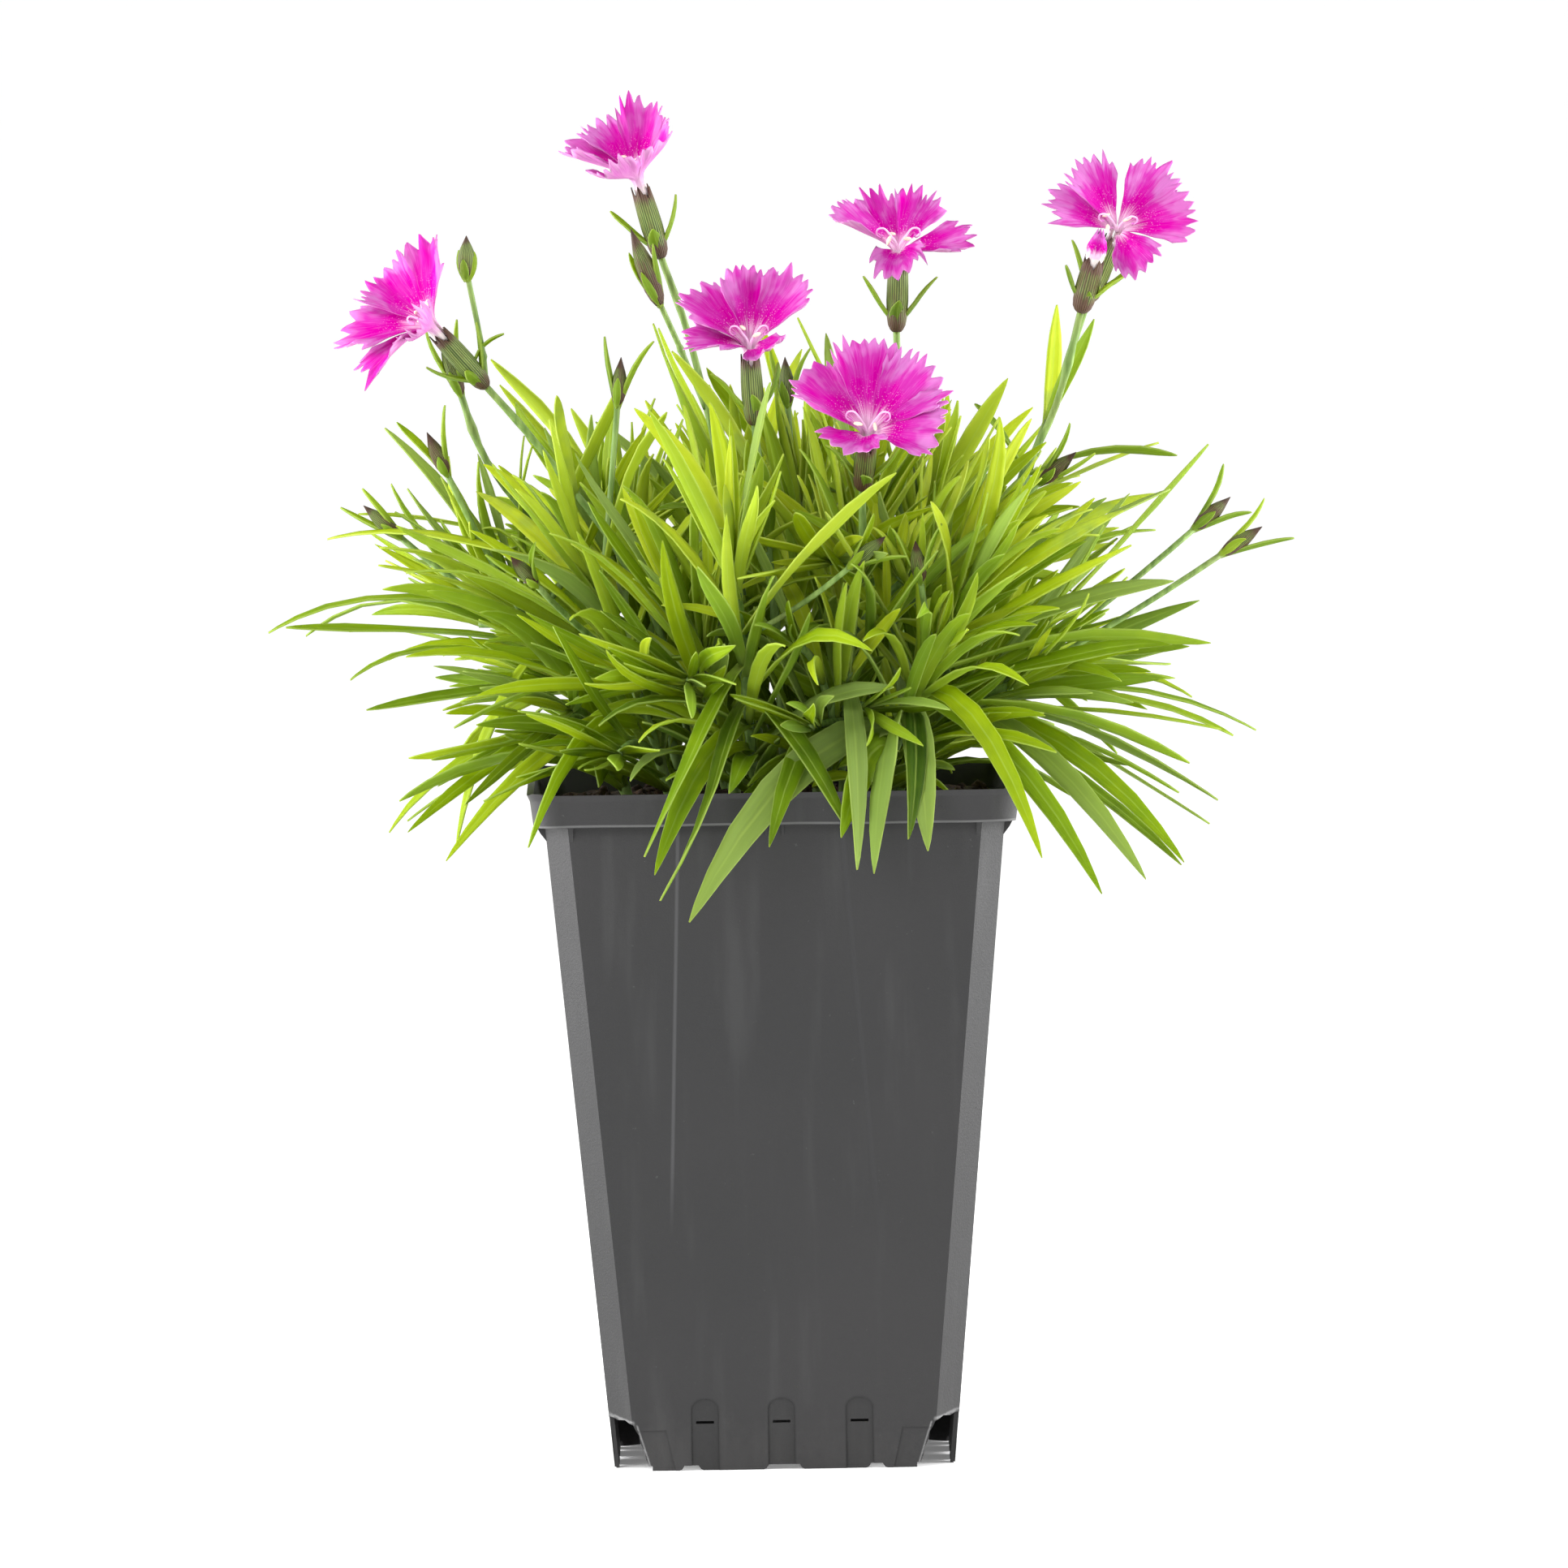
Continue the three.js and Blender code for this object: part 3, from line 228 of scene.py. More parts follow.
# %% Wires and finishes
class Wire:
    """The value that comes out of a node. Sums of wires become Math nodes."""

    def __init__(self, finish, socket):
        self.finish = finish
        self.socket = socket

    def sum(self, operation, first, second):
        return self.finish.add("ShaderNodeMath", {"operation": operation}, {0: first, 1: second})

    def __add__(self, other):
        return self.sum("ADD", self, other)

    __radd__ = __add__

    def __sub__(self, other):
        return self.sum("SUBTRACT", self, other)

    def __rsub__(self, other):
        return self.sum("SUBTRACT", other, self)

    def __mul__(self, other):
        return self.sum("MULTIPLY", self, other)

    __rmul__ = __mul__

    def __truediv__(self, other):
        return self.sum("DIVIDE", self, other)

    def __pow__(self, other):
        return self.sum("POWER", self, other)

    def __abs__(self):
        return self.sum("ABSOLUTE", self, 0)

    def step(self, low, high):
        """0 below low, 1 above high, and a smooth rise between them (or a fall, if high is lower)."""
        settings = {"interpolation_type": "SMOOTHSTEP"}
        if high > low:
            return self.finish.add("ShaderNodeMapRange", settings, {0: self, 1: low, 2: high})
        return 1 - self.step(high, low)


class Finish:
    """One material: a Principled shader and the nodes that feed it."""

    def __init__(self, name, **constants):
        self.material = bpy.data.materials.new(name)
        self.material.use_nodes = True
        self.tree = self.material.node_tree
        self.shader = self.tree.nodes["Principled BSDF"]
        for socket, value in constants.items():
            self.shader.inputs[socket.replace("_", " ")].default_value = value

    def add(self, kind, settings=None, sockets=None, output=0):
        """Adds a node: its settings first, then a value or a wire for each socket."""
        node = self.tree.nodes.new(kind)
        for key, value in (settings or {}).items():
            if key == "stops":
                while len(node.color_ramp.elements) < len(value):
                    node.color_ramp.elements.new(0.5)
                for element, (position, colour) in zip(node.color_ramp.elements, value):
                    element.position = position
                    element.color = (*colour, 1)
            else:
                setattr(node, key, value)
        for key, value in (sockets or {}).items():
            if isinstance(value, Wire):
                self.tree.links.new(value.socket, node.inputs[key])
            elif isinstance(value, tuple) and len(value) == 3 and node.inputs[key].type == "RGBA":
                node.inputs[key].default_value = (*value, 1)
            else:
                node.inputs[key].default_value = value
        return Wire(self, node.outputs[output])

    def place(self):
        """Object coordinates, in metres."""
        return self.add("ShaderNodeTexCoord", output="Object")

    def parts(self, vector):
        split = self.tree.nodes.new("ShaderNodeSeparateXYZ")
        self.tree.links.new(vector.socket, split.inputs[0])
        return [Wire(self, socket) for socket in split.outputs]

    def chart(self):
        """The piece's own chart: across and along, each from 0 to 1."""
        return self.parts(self.add("ShaderNodeUVMap", {"uv_map": "chart"}))[:2]

    def mark(self, name):
        """A number kept on the piece's points."""
        return self.add("ShaderNodeAttribute", {"attribute_name": name}, output="Fac")

    def noise(self, where, per_metre, detail=2.0, roughness=0.5):
        sockets = {"Vector": where, "Scale": per_metre, "Detail": detail, "Roughness": roughness}
        return self.add("ShaderNodeTexNoise", None, sockets)

    def mix(self, factor, first, second, way="MIX"):
        settings = {"data_type": "RGBA", "blend_type": way}
        return self.add("ShaderNodeMix", settings, {0: factor, 6: first, 7: second}, output=2)

    def ramp(self, factor, *stops):
        return self.add("ShaderNodeValToRGB", {"stops": stops}, {0: factor})

    def stretch(self, vector, x, y, z):
        """A vector with each of its parts multiplied."""
        settings = {"operation": "MULTIPLY"}
        return self.add("ShaderNodeVectorMath", settings, {0: vector, 1: (x, y, z)})

    def join(self, x, y, z=0.0):
        return self.add("ShaderNodeCombineXYZ", None, {0: x, 1: y, 2: z})

    def feed(self, **wires):
        for socket, wire in wires.items():
            self.tree.links.new(wire.socket, self.shader.inputs[socket.replace("_", " ")])

    def bump(self, height, depth, strength=1.0):
        """Relief: depth is the real height, in metres, of the difference from 0 to 1."""
        sockets = {"Strength": strength, "Distance": depth, "Height": height}
        self.feed(Normal=self.add("ShaderNodeBump", None, sockets))

    def let_light_through(self, share, colour):
        """Thin living tissue glows when lit from behind."""
        glow = self.add("ShaderNodeBsdfTranslucent", None, {"Color": colour})
        out = self.tree.nodes["Material Output"]
        plain = Wire(self, self.shader.outputs[0])
        both = self.add("ShaderNodeMixShader", None, {0: share, 1: plain, 2: glow})
        self.tree.links.new(both.socket, out.inputs["Surface"])


def colour(red, green, blue):
    """A colour as seen on a screen, from 0 to 255, as the shader wants it."""
    linear = lambda c: ((c / 255 + 0.055) / 1.055) ** 2.4 if c > 10 else c / 255 / 12.92
    return tuple(linear(c) for c in (red, green, blue))


white_sheet = Finish("white_sheet", Roughness=0.9, Emission_Strength=0.16)
white_sheet.shader.inputs["Base Color"].default_value = (0.9, 0.9, 0.9, 1)
white_sheet.shader.inputs["Emission Color"].default_value = (1, 1, 1, 1)
table.data.materials.append(white_sheet.material)

# %% [markdown]
# ## How the plant grows
# The construction model was grown by a rule, from one fixed sequence of numbers. The same rule runs
# here, with the same numbers drawn in the same order, so every fine leaf lies where its plain one
# lies. Sizes are in millimetres.

# %% Sizes of the plant
POT_HEIGHT = 125.5
RIM_HALF = 45.0
WALL = 0.9
LIP_FLARE = 0.7
SOIL_EDGE_TOP = 119.8
SOIL_DOME = 4.2
STEM_DEPTH = 7
SHOOT_COUNT = 17
SHOOT_RADIUS = 1.0
PAIRS_PER_SHOOT = 8
ATTEMPTS = 10
LEAF_WIDTH = 4.5
LIGHT_PULL = 0.34  # how strongly leaves turn up towards the light
OUTER_LENGTH = 50  # from the root to the tip of most long outer leaves
LEAF_FOLD = 0.22
LEAF_WIDEST = 0.35
LEAF_GAP = 0.45
LEAF_THICK = 0.55
STALK_RADIUS = 0.65
LOW_BUD_LENGTH = 8.5
LOW_BUD_RADIUS = 1.6

# Each flower: throat, calyx base, the stem's way down, the way the corolla faces and the length of
# its petals. Each petal: bearing, cup angle and half its fan's angle, in degrees, and its share of
# the length.
FLOWERS = {
    "left": dict(throat=(-61.7, -12, 211), base=(-52.1, -6, 199.5),
                 way=((-41.5, -4, 186.8), (-22.7, -2, 158.5), (-12, 0, 128)), lean=-45, tilt=27, reach=16.6,
                 petals=((16, 38, 30, 0.98), (90, 34, 34, 0.96), (157, 30, 36, 1.04),
                         (199, 24, 36, 0.98), (262, 24, 36, 0.74))),
    "top": dict(throat=(-23.5, 8, 236.8), base=(-19.4, 10, 222.1),
                way=((-14.4, 10, 207), (-6, 8, 165), (-1, 7, 128)), lean=-16, tilt=20, reach=15.8,
                petals=((54, 46, 30, 0.95), (118, 40, 30, 0.95), (172, 33, 36, 0.96),
                        (246, 24, 36, 0.84), (324, 36, 34, 0.9))),
    "middle": dict(throat=(-3.3, -16, 206.3), base=(-2.6, -14, 192.1),
                   way=((-0.9, -13, 176.2), (1, -12, 150), (2, -10, 128)), lean=0, tilt=38, reach=15.4,
                   petals=((33, 38, 30, 1.08), (92, 40, 29, 1.02), (157, 31, 36, 1.04),
                           (208, 26, 36, 0.9), (298, 24, 36, 0.76))),
    "rear": dict(throat=(24.6, 16, 222.2), base=(24, 17, 207.4),
                 way=((24.2, 16, 172.5), (20, 16.5, 150), (13.5, 17, 128)), lean=0, tilt=35, reach=14.8,
                 petals=((342, 16, 19, 1), (66, 16, 26, 0.95), (114, 13, 31, 0.95),
                         (164, 27, 31, 1), (270, 22, 36, 0.85))),
    "front": dict(throat=(18.2, -38, 191), base=(17.1, -29.5, 180.7),
                  way=((16.8, -26, 167.5), (14, -22, 148), (12, -19, 128)), lean=2, tilt=44, reach=17.4,
                  petals=((36, 34, 31, 1), (92, 35, 31, 1.04), (157, 31, 36, 1),
                          (245, 27, 46, 0.72), (345, 25, 30, 0.94))),
    "right": dict(throat=(65, 4, 226.1), base=(59.5, 8, 212.9),
                  way=((53.2, 9, 195.1), (46.5, 9, 178), (25, 6, 128)), lean=6, tilt=60, reach=15.2,
                  petals=((6, 24, 24, 1.06), (56, 24, 26, 1), (126, 24, 28, 0.97),
                          (171, 22, 26, 0.97), (299, 24, 30, 0.88))),
}
TALL_BUDS = {
    "left": dict(base=(-55.3, -8, 220.2), tip=(-55.3, -8, 227.6),
                 way=((-52.5, -6.2, 205), (-52.1, -6, 199.8))),
    "top": dict(base=(-20, 6, 214.2), tip=(-25, 4, 227.9), way=((-16, 8, 205), (-11.6, 9.4, 194))),
}
LONE_STALK = dict(base=(-57, 4, 198), tip=(-60.5, 3, 208.5),
                  way=((-52.3, 5, 185.1), (-30, 10, 155), (-16, 14, 128)))
LOW_BUDS = (
    (-27.8, -14, 196.5), (3.6, 8, 195), (-59.8, -8, 184), (-69, 6, 171.6), (-43.5, -34, 164.5),
    (50.5, 2, 180), (79, 4, 171), (84, -2, 166.5), (15, -44, 167.5), (27.5, -40, 164.5),
)
OPENING_BUD = dict(tip=(61.3, -9.5, 226.3), neck=(60.6, -8.5, 221), base=(58, -6, 211.6),
                   way=((53.2, -3, 194.2), (45.4, -2, 177.7), (24, -5, 128)))
# Tips of the long leaves that stand clear of the mound, with the arch of each and, where it isn't
# the usual one, the distance from root to tip.
OUTER_LEAVES = (
    (-93.7, -4, 157.1, 14), (-84.3, 6, 173.5, 10), (-89.6, -16, 153.9, 8), (-77, 14, 177.8, 4),
    (-80, -24, 151.2, 12), (-67.4, -30, 155.8, 12), (-74.6, -12, 138.3, 12), (-59.5, -34, 138, 12),
    (-69.7, -20, 125.7, 16), (-60.4, -8, 115.4, 20), (-67.2, 4, 118.2, 20), (-69.2, -14, 174.2, 6),
    (-66.8, 16, 193, 3), (-66.7, -10, 180.7, 5), (-47.7, 24, 206, 2), (-46.9, 8, 198.7, 2),
    (82.5, 14, 183.9, 4), (74, -6, 179, 5), (71.4, 18, 186, 3), (92.9, 2, 172.6, 8),
    (95.8, 14, 167.4, 12), (73.8, -24, 164.7, 10), (80.4, -14, 153.8, 10), (73.7, -30, 148.7, 12),
    (78.1, 10, 143.7, 14), (89.7, -6, 133.6, 18), (85.5, 8, 134.5, 14), (76.4, -18, 128.9, 16),
    (81, 2, 118.6, 20), (74.5, -22, 121.4, 18), (78.5, 12, 112.2, 22), (71.7, -12, 106.8, 24),
    (65.6, -30, 102.9, 26), (51, -46, 111.8, 24, 42), (-17.4, -66, 104.8, 26, 46),
    (-21.6, -60, 114.5, 20, 34),
    (-18, -55, 120.5, 16, 27), (-5.6, -54, 126, 15, 30), (12.5, -55, 119.5, 18, 29), (18, -60, 112, 20, 34),
    (28.3, -57, 118, 19, 32), (-25.8, 4, 200.7, 2), (-43.2, -4, 192.6, 3), (-10.6, 12, 204.2, 2),
    (4.5, 10, 210, 2), (32.9, 0, 197.5, 2), (41.9, -8, 192.5, 2), (56.2, 6, 195.6, 3),
)

# %% Numbers, curves and distances
seed = 20417


def draw():
    """The next number of the fixed sequence, from 0 up to 1."""
    global seed
    seed = (seed * 1664525 + 1013904223) % 4294967296
    return seed / 4294967296


def between(low, high):
    return low + (high - low) * draw()


def point(*numbers):
    return np.array(numbers, float)


def unit(vector):
    return vector / (np.linalg.norm(vector, axis=-1, keepdims=True) + 1e-300)


def arc(first, second, third):
    """A quadratic Bezier curve, as a function of t."""
    first, second, third = (np.asarray(p, float) for p in (first, second, third))

    def at(t):
        t = np.asarray(t, float)[..., None]
        return (1 - t) ** 2 * first + 2 * (1 - t) * t * second + t * t * third

    return at


def through(points):
    """A centripetal Catmull-Rom curve through points, as a function of t."""
    knots = [np.asarray(p, float) for p in points]
    count = len(knots)

    def one(t):
        place = (count - 1) * t
        first = min(int(math.floor(place)), count - 2)
        weight = place - first
        b, c = knots[first], knots[first + 1]
        a = knots[first - 1] if first > 0 else 2 * b - c
        d = knots[first + 2] if first + 2 < count else 2 * c - b
        gaps = [max(np.dot(q - p, q - p) ** 0.25, 1e-4) for p, q in ((a, b), (b, c), (c, d))]
        start = ((b - a) / gaps[0] - (c - a) / (gaps[0] + gaps[1]) + (c - b) / gaps[1]) * gaps[1]
        end = ((c - b) / gaps[1] - (d - b) / (gaps[1] + gaps[2]) + (d - c) / gaps[2]) * gaps[1]
        w2, w3 = weight * weight, weight ** 3
        return (b + start * weight + (-3 * b + 3 * c - 2 * start - end) * w2
                + (2 * b - 2 * c + start + end) * w3)

    def at(t):
        t = np.asarray(t, float)
        return one(float(t)) if t.ndim == 0 else np.array([one(v) for v in t])

    return at


def heading(curve, t):
    """The direction of a curve at t."""
    return unit(curve(min(1.0, t + 1e-4)) - curve(max(0.0, t - 1e-4)))


def soil_top(x, y):
    reach = max(abs(x), abs(y)) / RIM_HALF
    return SOIL_EDGE_TOP + SOIL_DOME * (1 - reach * reach)


# %% [markdown]
# Leaves must not cut through each other. Each piece is remembered as straight stretches with
# a thickness, and leaves also with a width that counts only across them. A new leaf
# is kept when its stretches stay clear of all the others, and is tried again otherwise.

# %% Keeping leaves apart
MOST_STRETCHES = 6000
stretches = {key: np.zeros((MOST_STRETCHES, 3)) for key in ("start", "end", "side_a", "side_b")}
stretches.update({key: np.zeros(MOST_STRETCHES) for key in ("thick", "order", "node")})
stretch_count = 0
node_numbers = {}


def remember(node, order, start, end, thick, sides=None):
    global stretch_count
    row = stretch_count
    stretches["start"][row], stretches["end"][row] = start, end
    stretches["thick"][row], stretches["order"][row] = thick, order
    stretches["node"][row] = node_numbers.setdefault(node, len(node_numbers))
    if sides is not None:
        stretches["side_a"][row], stretches["side_b"][row] = sides
    stretch_count += 1


def too_near(node, order, start, end, thick, sides=None, other_nodes_only=False, slack=0.0):
    """Whether one stretch comes too near any remembered one."""
    known = {key: value[:stretch_count] for key, value in stretches.items()}
    d1 = end - start
    d2 = known["end"] - known["start"]
    r = start - known["start"]
    a = float(d1 @ d1)
    e = np.einsum("ij,ij->i", d2, d2)
    f = np.einsum("ij,ij->i", d2, r)
    c = r @ d1
    b = d2 @ d1
    spread = a * e - b * b
    s = np.where(spread > 1e-9, np.clip((b * f - c * e) / np.where(spread > 1e-9, spread, 1), 0, 1), 0)
    t = (b * s + f) / e
    s = np.where(t < 0, np.clip(-c / a, 0, 1), np.where(t > 1, np.clip((b - c) / a, 0, 1), s))
    t = np.clip(t, 0, 1)
    gap = r + s[:, None] * d1 - t[:, None] * d2
    distance = np.linalg.norm(gap, axis=1)
    way = gap / np.where(distance > 0, distance, 1)[:, None]
    across = np.maximum(np.abs(np.einsum("ij,ij->i", known["side_a"], way)),
                        np.abs(np.einsum("ij,ij->i", known["side_b"], way)))
    if sides is not None:
        across = across + np.maximum(np.abs(way @ sides[0]), np.abs(way @ sides[1]))
    own = known["node"] == node_numbers.get(node, -1)
    need = across + thick + known["thick"] + np.where(own, 0, LEAF_GAP) - slack
    near = (distance < need) & (distance <= 7 + thick + known["thick"])
    if other_nodes_only:
        near &= ~own
    elif order < 1:
        near &= ~(own & (known["order"] < 1))
    return bool(near.any())


def remember_tube(node, curve, radius, steps):
    points = curve(np.linspace(0, 1, steps + 1))
    for p, q in zip(points, points[1:]):
        remember(node, 0, p, q, radius)


# %% [markdown]
# A leaf blade is a curve with a width. Its midrib leaves the stem along one direction and bends away
# from it, it may sway and twist, and it is widest at about a third of its length.

# %% Leaf blades
def blade_half_width(t, width):
    t = np.asarray(t, float)
    rise = 0.28 + 0.72 * np.sin(np.minimum(t / LEAF_WIDEST, 1) * np.pi / 2)
    past = np.clip((t - LEAF_WIDEST) / (1 - LEAF_WIDEST), 0, 1)
    return (width / 2) * np.where(t < LEAF_WIDEST, rise, 1 - past ** 2.6)


def blade_frames(blade, t):
    """Middle, sideways direction and upward direction of a blade at shares t of its length."""
    t = np.asarray(t, float)[:, None]
    start, bend = blade["start"], blade["bend"]
    middle = blade["root"] + start * t + bend * t * t
    along = unit(start + 2 * bend * t)
    flat = unit(np.cross(start, blade["up"]))
    level = unit(flat - (along @ flat)[:, None] * along)
    angle = blade["twist"] * t
    side = level * np.cos(angle) + np.cross(level, along) * np.sin(angle)
    return middle, side, np.cross(side, along)


STATIONS = (0, 0.3, 0.7, 1)


def blade_stretches(blade):
    middle, side, _ = blade_frames(blade, STATIONS)
    half = blade_half_width(STATIONS, blade["width"])
    reach = side * half[:, None]
    return [(i, middle[i], middle[i + 1], (reach[i], reach[i + 1])) for i in range(len(STATIONS) - 1)]


def clears_pot(place, half):
    reach = max(abs(place[0]), abs(place[1]))
    spare = half + 1.6
    if reach < RIM_HALF - WALL - spare:
        return place[2] > soil_top(place[0], place[1]) + 1.2
    if reach < RIM_HALF + LIP_FLARE + spare:
        return place[2] > POT_HEIGHT + LIP_FLARE + 1 + half * 0.6
    return True


def is_clear(blade, node, slack=0.0):
    middle, _, _ = blade_frames(blade, STATIONS)
    half = blade_half_width(STATIONS, blade["width"])
    for i in range(len(STATIONS) - 1):
        for share in (0.2, 0.4, 0.6, 0.8, 1):
            place = middle[i] + (middle[i + 1] - middle[i]) * share
            if not clears_pot(place, half[i] + (half[i + 1] - half[i]) * share):
                return False
    return not any(too_near(node, order, p, q, LEAF_THICK, sides, slack=slack)
                   for order, p, q, sides in blade_stretches(blade))


def keep_blade(node, blade):
    plants[node]["blades"].append(blade)
    for order, p, q, sides in blade_stretches(blade):
        remember(node, order, p, q, LEAF_THICK, sides)


# %% Stems, in the order in which they are planted
plants = {}


def add_stem(node, curve, radius, steps, **habit):
    plants[node] = dict(curve=curve, radius=radius, steps=steps, blades=[], buds=[], habit=habit)
    remember_tube(node, curve, radius, steps * 2)


def shoot_curve(k):
    share = math.sqrt((k + 0.5) / SHOOT_COUNT)
    angle = k * math.radians(137.508) + 0.9
    x, y = 27 * share * math.cos(angle), 27 * share * math.sin(angle)
    fall = 20 * share * share + (26 if k % 3 == 1 else 0)
    tip_height = 180 - fall + between(-4, 4)
    foot = (x, y, soil_top(x, y) - STEM_DEPTH)
    return arc(foot, (x * 1.25, y * 1.25, 138), (x * 2.0, y * 2.0 * 0.92, tip_height))


def stem_curve(way, top):
    foot = point(*way[-1])
    foot[2] = soil_top(foot[0], foot[1]) - STEM_DEPTH
    sunk = point(*way[0]) * 0.88 + point(*top) * 0.12
    return through([foot, *reversed(way[:-1]), sunk])


def corolla_frame(flower):
    lean, tilt = math.radians(flower["lean"]), math.radians(flower["tilt"])
    normal = point(math.sin(lean) * math.cos(tilt), -math.sin(tilt), math.cos(lean) * math.cos(tilt))
    back = unit(point(0, 1, 0) - normal * normal[1])
    return normal, back, np.cross(back, normal)


for k in range(SHOOT_COUNT):
    curve = shoot_curve(k)
    add_stem(f"leafy_shoot_{k + 1}", curve, SHOOT_RADIUS, 4,
             pairs=PAIRS_PER_SHOOT, low=0.21, high=0.97, size=1)
    plants[f"leafy_shoot_{k + 1}"]["habit"]["turn"] = between(0, 90)
for name, flower in FLOWERS.items():
    node = f"flower_stem_{name}"
    curve = stem_curve((flower["base"], *flower["way"]), flower["throat"])
    add_stem(node, curve, STALK_RADIUS, 7, pairs=2, low=0.28, high=0.42, size=0.75, turn=between(0, 90))
    throat = point(*flower["throat"])
    remember("bloom", 1, point(*flower["base"]), throat, 4.5)
    remember("bloom", 1, throat, throat + corolla_frame(flower)[0] * 5, flower["reach"] - 1)
for bud in TALL_BUDS.values():
    remember("bloom", 1, point(*bud["base"]), point(*bud["tip"]), 2.4)
    remember("bloom", 1, point(*bud["way"][-1]), point(*bud["base"]), 1.5)
lone_curve = stem_curve((LONE_STALK["base"], *LONE_STALK["way"]), LONE_STALK["tip"])
add_stem("bud_stalk", lone_curve, STALK_RADIUS, 7)
add_stem("opening_bud_stem", stem_curve((OPENING_BUD["base"], *OPENING_BUD["way"]), OPENING_BUD["neck"]),
         STALK_RADIUS, 7)
remember("bloom", 1, point(*OPENING_BUD["base"]), point(*OPENING_BUD["tip"]), 3.5)
print("stems:", len(plants))


# %% Low buds, outer leaves, then pairs of leaves up each stem
def grow_low_buds():
    for place in LOW_BUDS:
        base = point(*place)
        roots = []
        for node, plant in plants.items():
            if plant["habit"].get("size") != 1:
                continue
            for u in (0.55, 0.65, 0.75, 0.85):
                root = plant["curve"](u)
                miss = np.linalg.norm(root - base) + max(0, root[2] - base[2] + 14) * 3
                roots.append((miss, node, root))
        roots.sort(key=lambda item: item[0])
        for _, node, root in roots[:24]:
            knee = (root + base) * 0.5 - point(0, 0, 2)
            stalk = arc(root, knee, base)
            tip = base + heading(stalk, 1) * LOW_BUD_LENGTH
            points = stalk(np.linspace(0, 1, 4))
            reach = [(0, p, q, STALK_RADIUS) for p, q in zip(points, points[1:])]
            reach.append((1, base, tip, LOW_BUD_RADIUS))
            if any(too_near(node, *stretch, other_nodes_only=True) for stretch in reach):
                continue
            for order, p, q, thick in reach:
                remember(node, order, p, q, thick)
            plants[node]["buds"].append((stalk, base, tip))
            break


def grow_outer_leaves():
    for x, y, z, arch, *own_length in OUTER_LEAVES:
        tip = point(x, y, z)
        distance = own_length[0] if own_length else OUTER_LENGTH
        roots = []
        for node, plant in plants.items():
            if plant["habit"].get("size") != 1:
                continue
            for u in (0.3, 0.42, 0.54, 0.66, 0.78, 0.9):
                root = plant["curve"](u)
                roots.append((abs(np.linalg.norm(root - tip) - distance), node, root))
        roots.sort(key=lambda item: item[0])
        twist = between(-0.9, 0.9)
        width = LEAF_WIDTH * between(0.85, 1.1)
        for miss, node, root in roots:
            if miss > 16:
                break
            lift = point(0, 0, arch)
            blade = dict(root=root, start=tip - root + lift, bend=-lift, up=point(0, 0, 1),
                         width=width, twist=twist)
            if is_clear(blade, node):
                keep_blade(node, blade)
                break


def paired_blade(plant, share, u, azimuth_middle, attempt, wander_start=18, upright=0.0):
    """One try at a leaf of a pair: low leaves spread wide and droop, high ones stand up."""
    habit = plant["habit"]
    root, axis = plant["curve"](u), heading(plant["curve"], u)
    wander = wander_start + attempt * 4
    azimuth = math.radians(azimuth_middle + between(-wander, wander))
    spread = math.radians(64 - 38 * share + between(-12, 12)) * (1 - 0.45 * upright)
    shrink = habit["size"] * (1 - attempt * 0.015)
    length = (36 + 52 * share * (1 - share) + between(-5, 11)) * shrink
    droop = (0.4 - 0.3 * share + between(-0.1, 0.12)) * length * (1 - upright)
    sway = between(-0.12, 0.12) * length
    twist = between(-0.8, 0.8)
    width = LEAF_WIDTH * between(0.78, 1.05) * math.sqrt(habit["size"])
    out = point(math.cos(azimuth), math.sin(azimuth), 0)
    out = unit(out - axis * (out @ axis))
    start = axis * math.cos(spread) + out * math.sin(spread)
    start[2] += LIGHT_PULL * (1 + upright)
    start = unit(start)
    across = unit(np.cross(start, axis))
    bend = point(0, 0, -droop) + across * sway
    socket = root + out * plant["radius"] * 0.35
    return dict(root=socket, start=start * length, bend=bend, up=axis, width=width, twist=twist)


def grow_pairs():
    for pair in range(PAIRS_PER_SHOOT):
        for node, plant in plants.items():
            habit = plant["habit"]
            if pair >= habit.get("pairs", 0):
                continue
            share = pair / max(1, habit["pairs"] - 1)
            u = habit["low"] + (habit["high"] - habit["low"]) * share
            for half_turn in (0, 180):
                for attempt in range(ATTEMPTS):
                    blade = paired_blade(plant, share, u, habit["turn"] + pair * 90 + half_turn, attempt)
                    if is_clear(blade, node):
                        keep_blade(node, blade)
                        break


grow_low_buds()
grow_outer_leaves()
grow_pairs()
print("leaves of the construction model:", sum(len(plant["blades"]) for plant in plants.values()))

# %% [markdown]
# ## More leaves than the construction model has
# The plain model has as many leaves as its size allows. The real mound is denser: between two pairs
# of leaves there are others, and side twigs carry leaves to the mound's outside. They grow by the
# same rule and are kept only where there is room.

# %% Side twigs and the leaves between the leaves
FILL_SLACK = 1.15
ROSETTE_SLACK = 1.9
COLLAR_SLACK = 1.5
CORE_LEAVES = 110
FILL_ATTEMPTS = 14
TWIGS_PER_SHOOT = 5
TWIG_TRIES = 6
TWIG_RADIUS = 0.75
shoots = [f"leafy_shoot_{k + 1}" for k in range(SHOOT_COUNT)]
MOUND_MIDDLE = point(0, 0, 146)
MOUND_REACH = point(84, 74, 48)


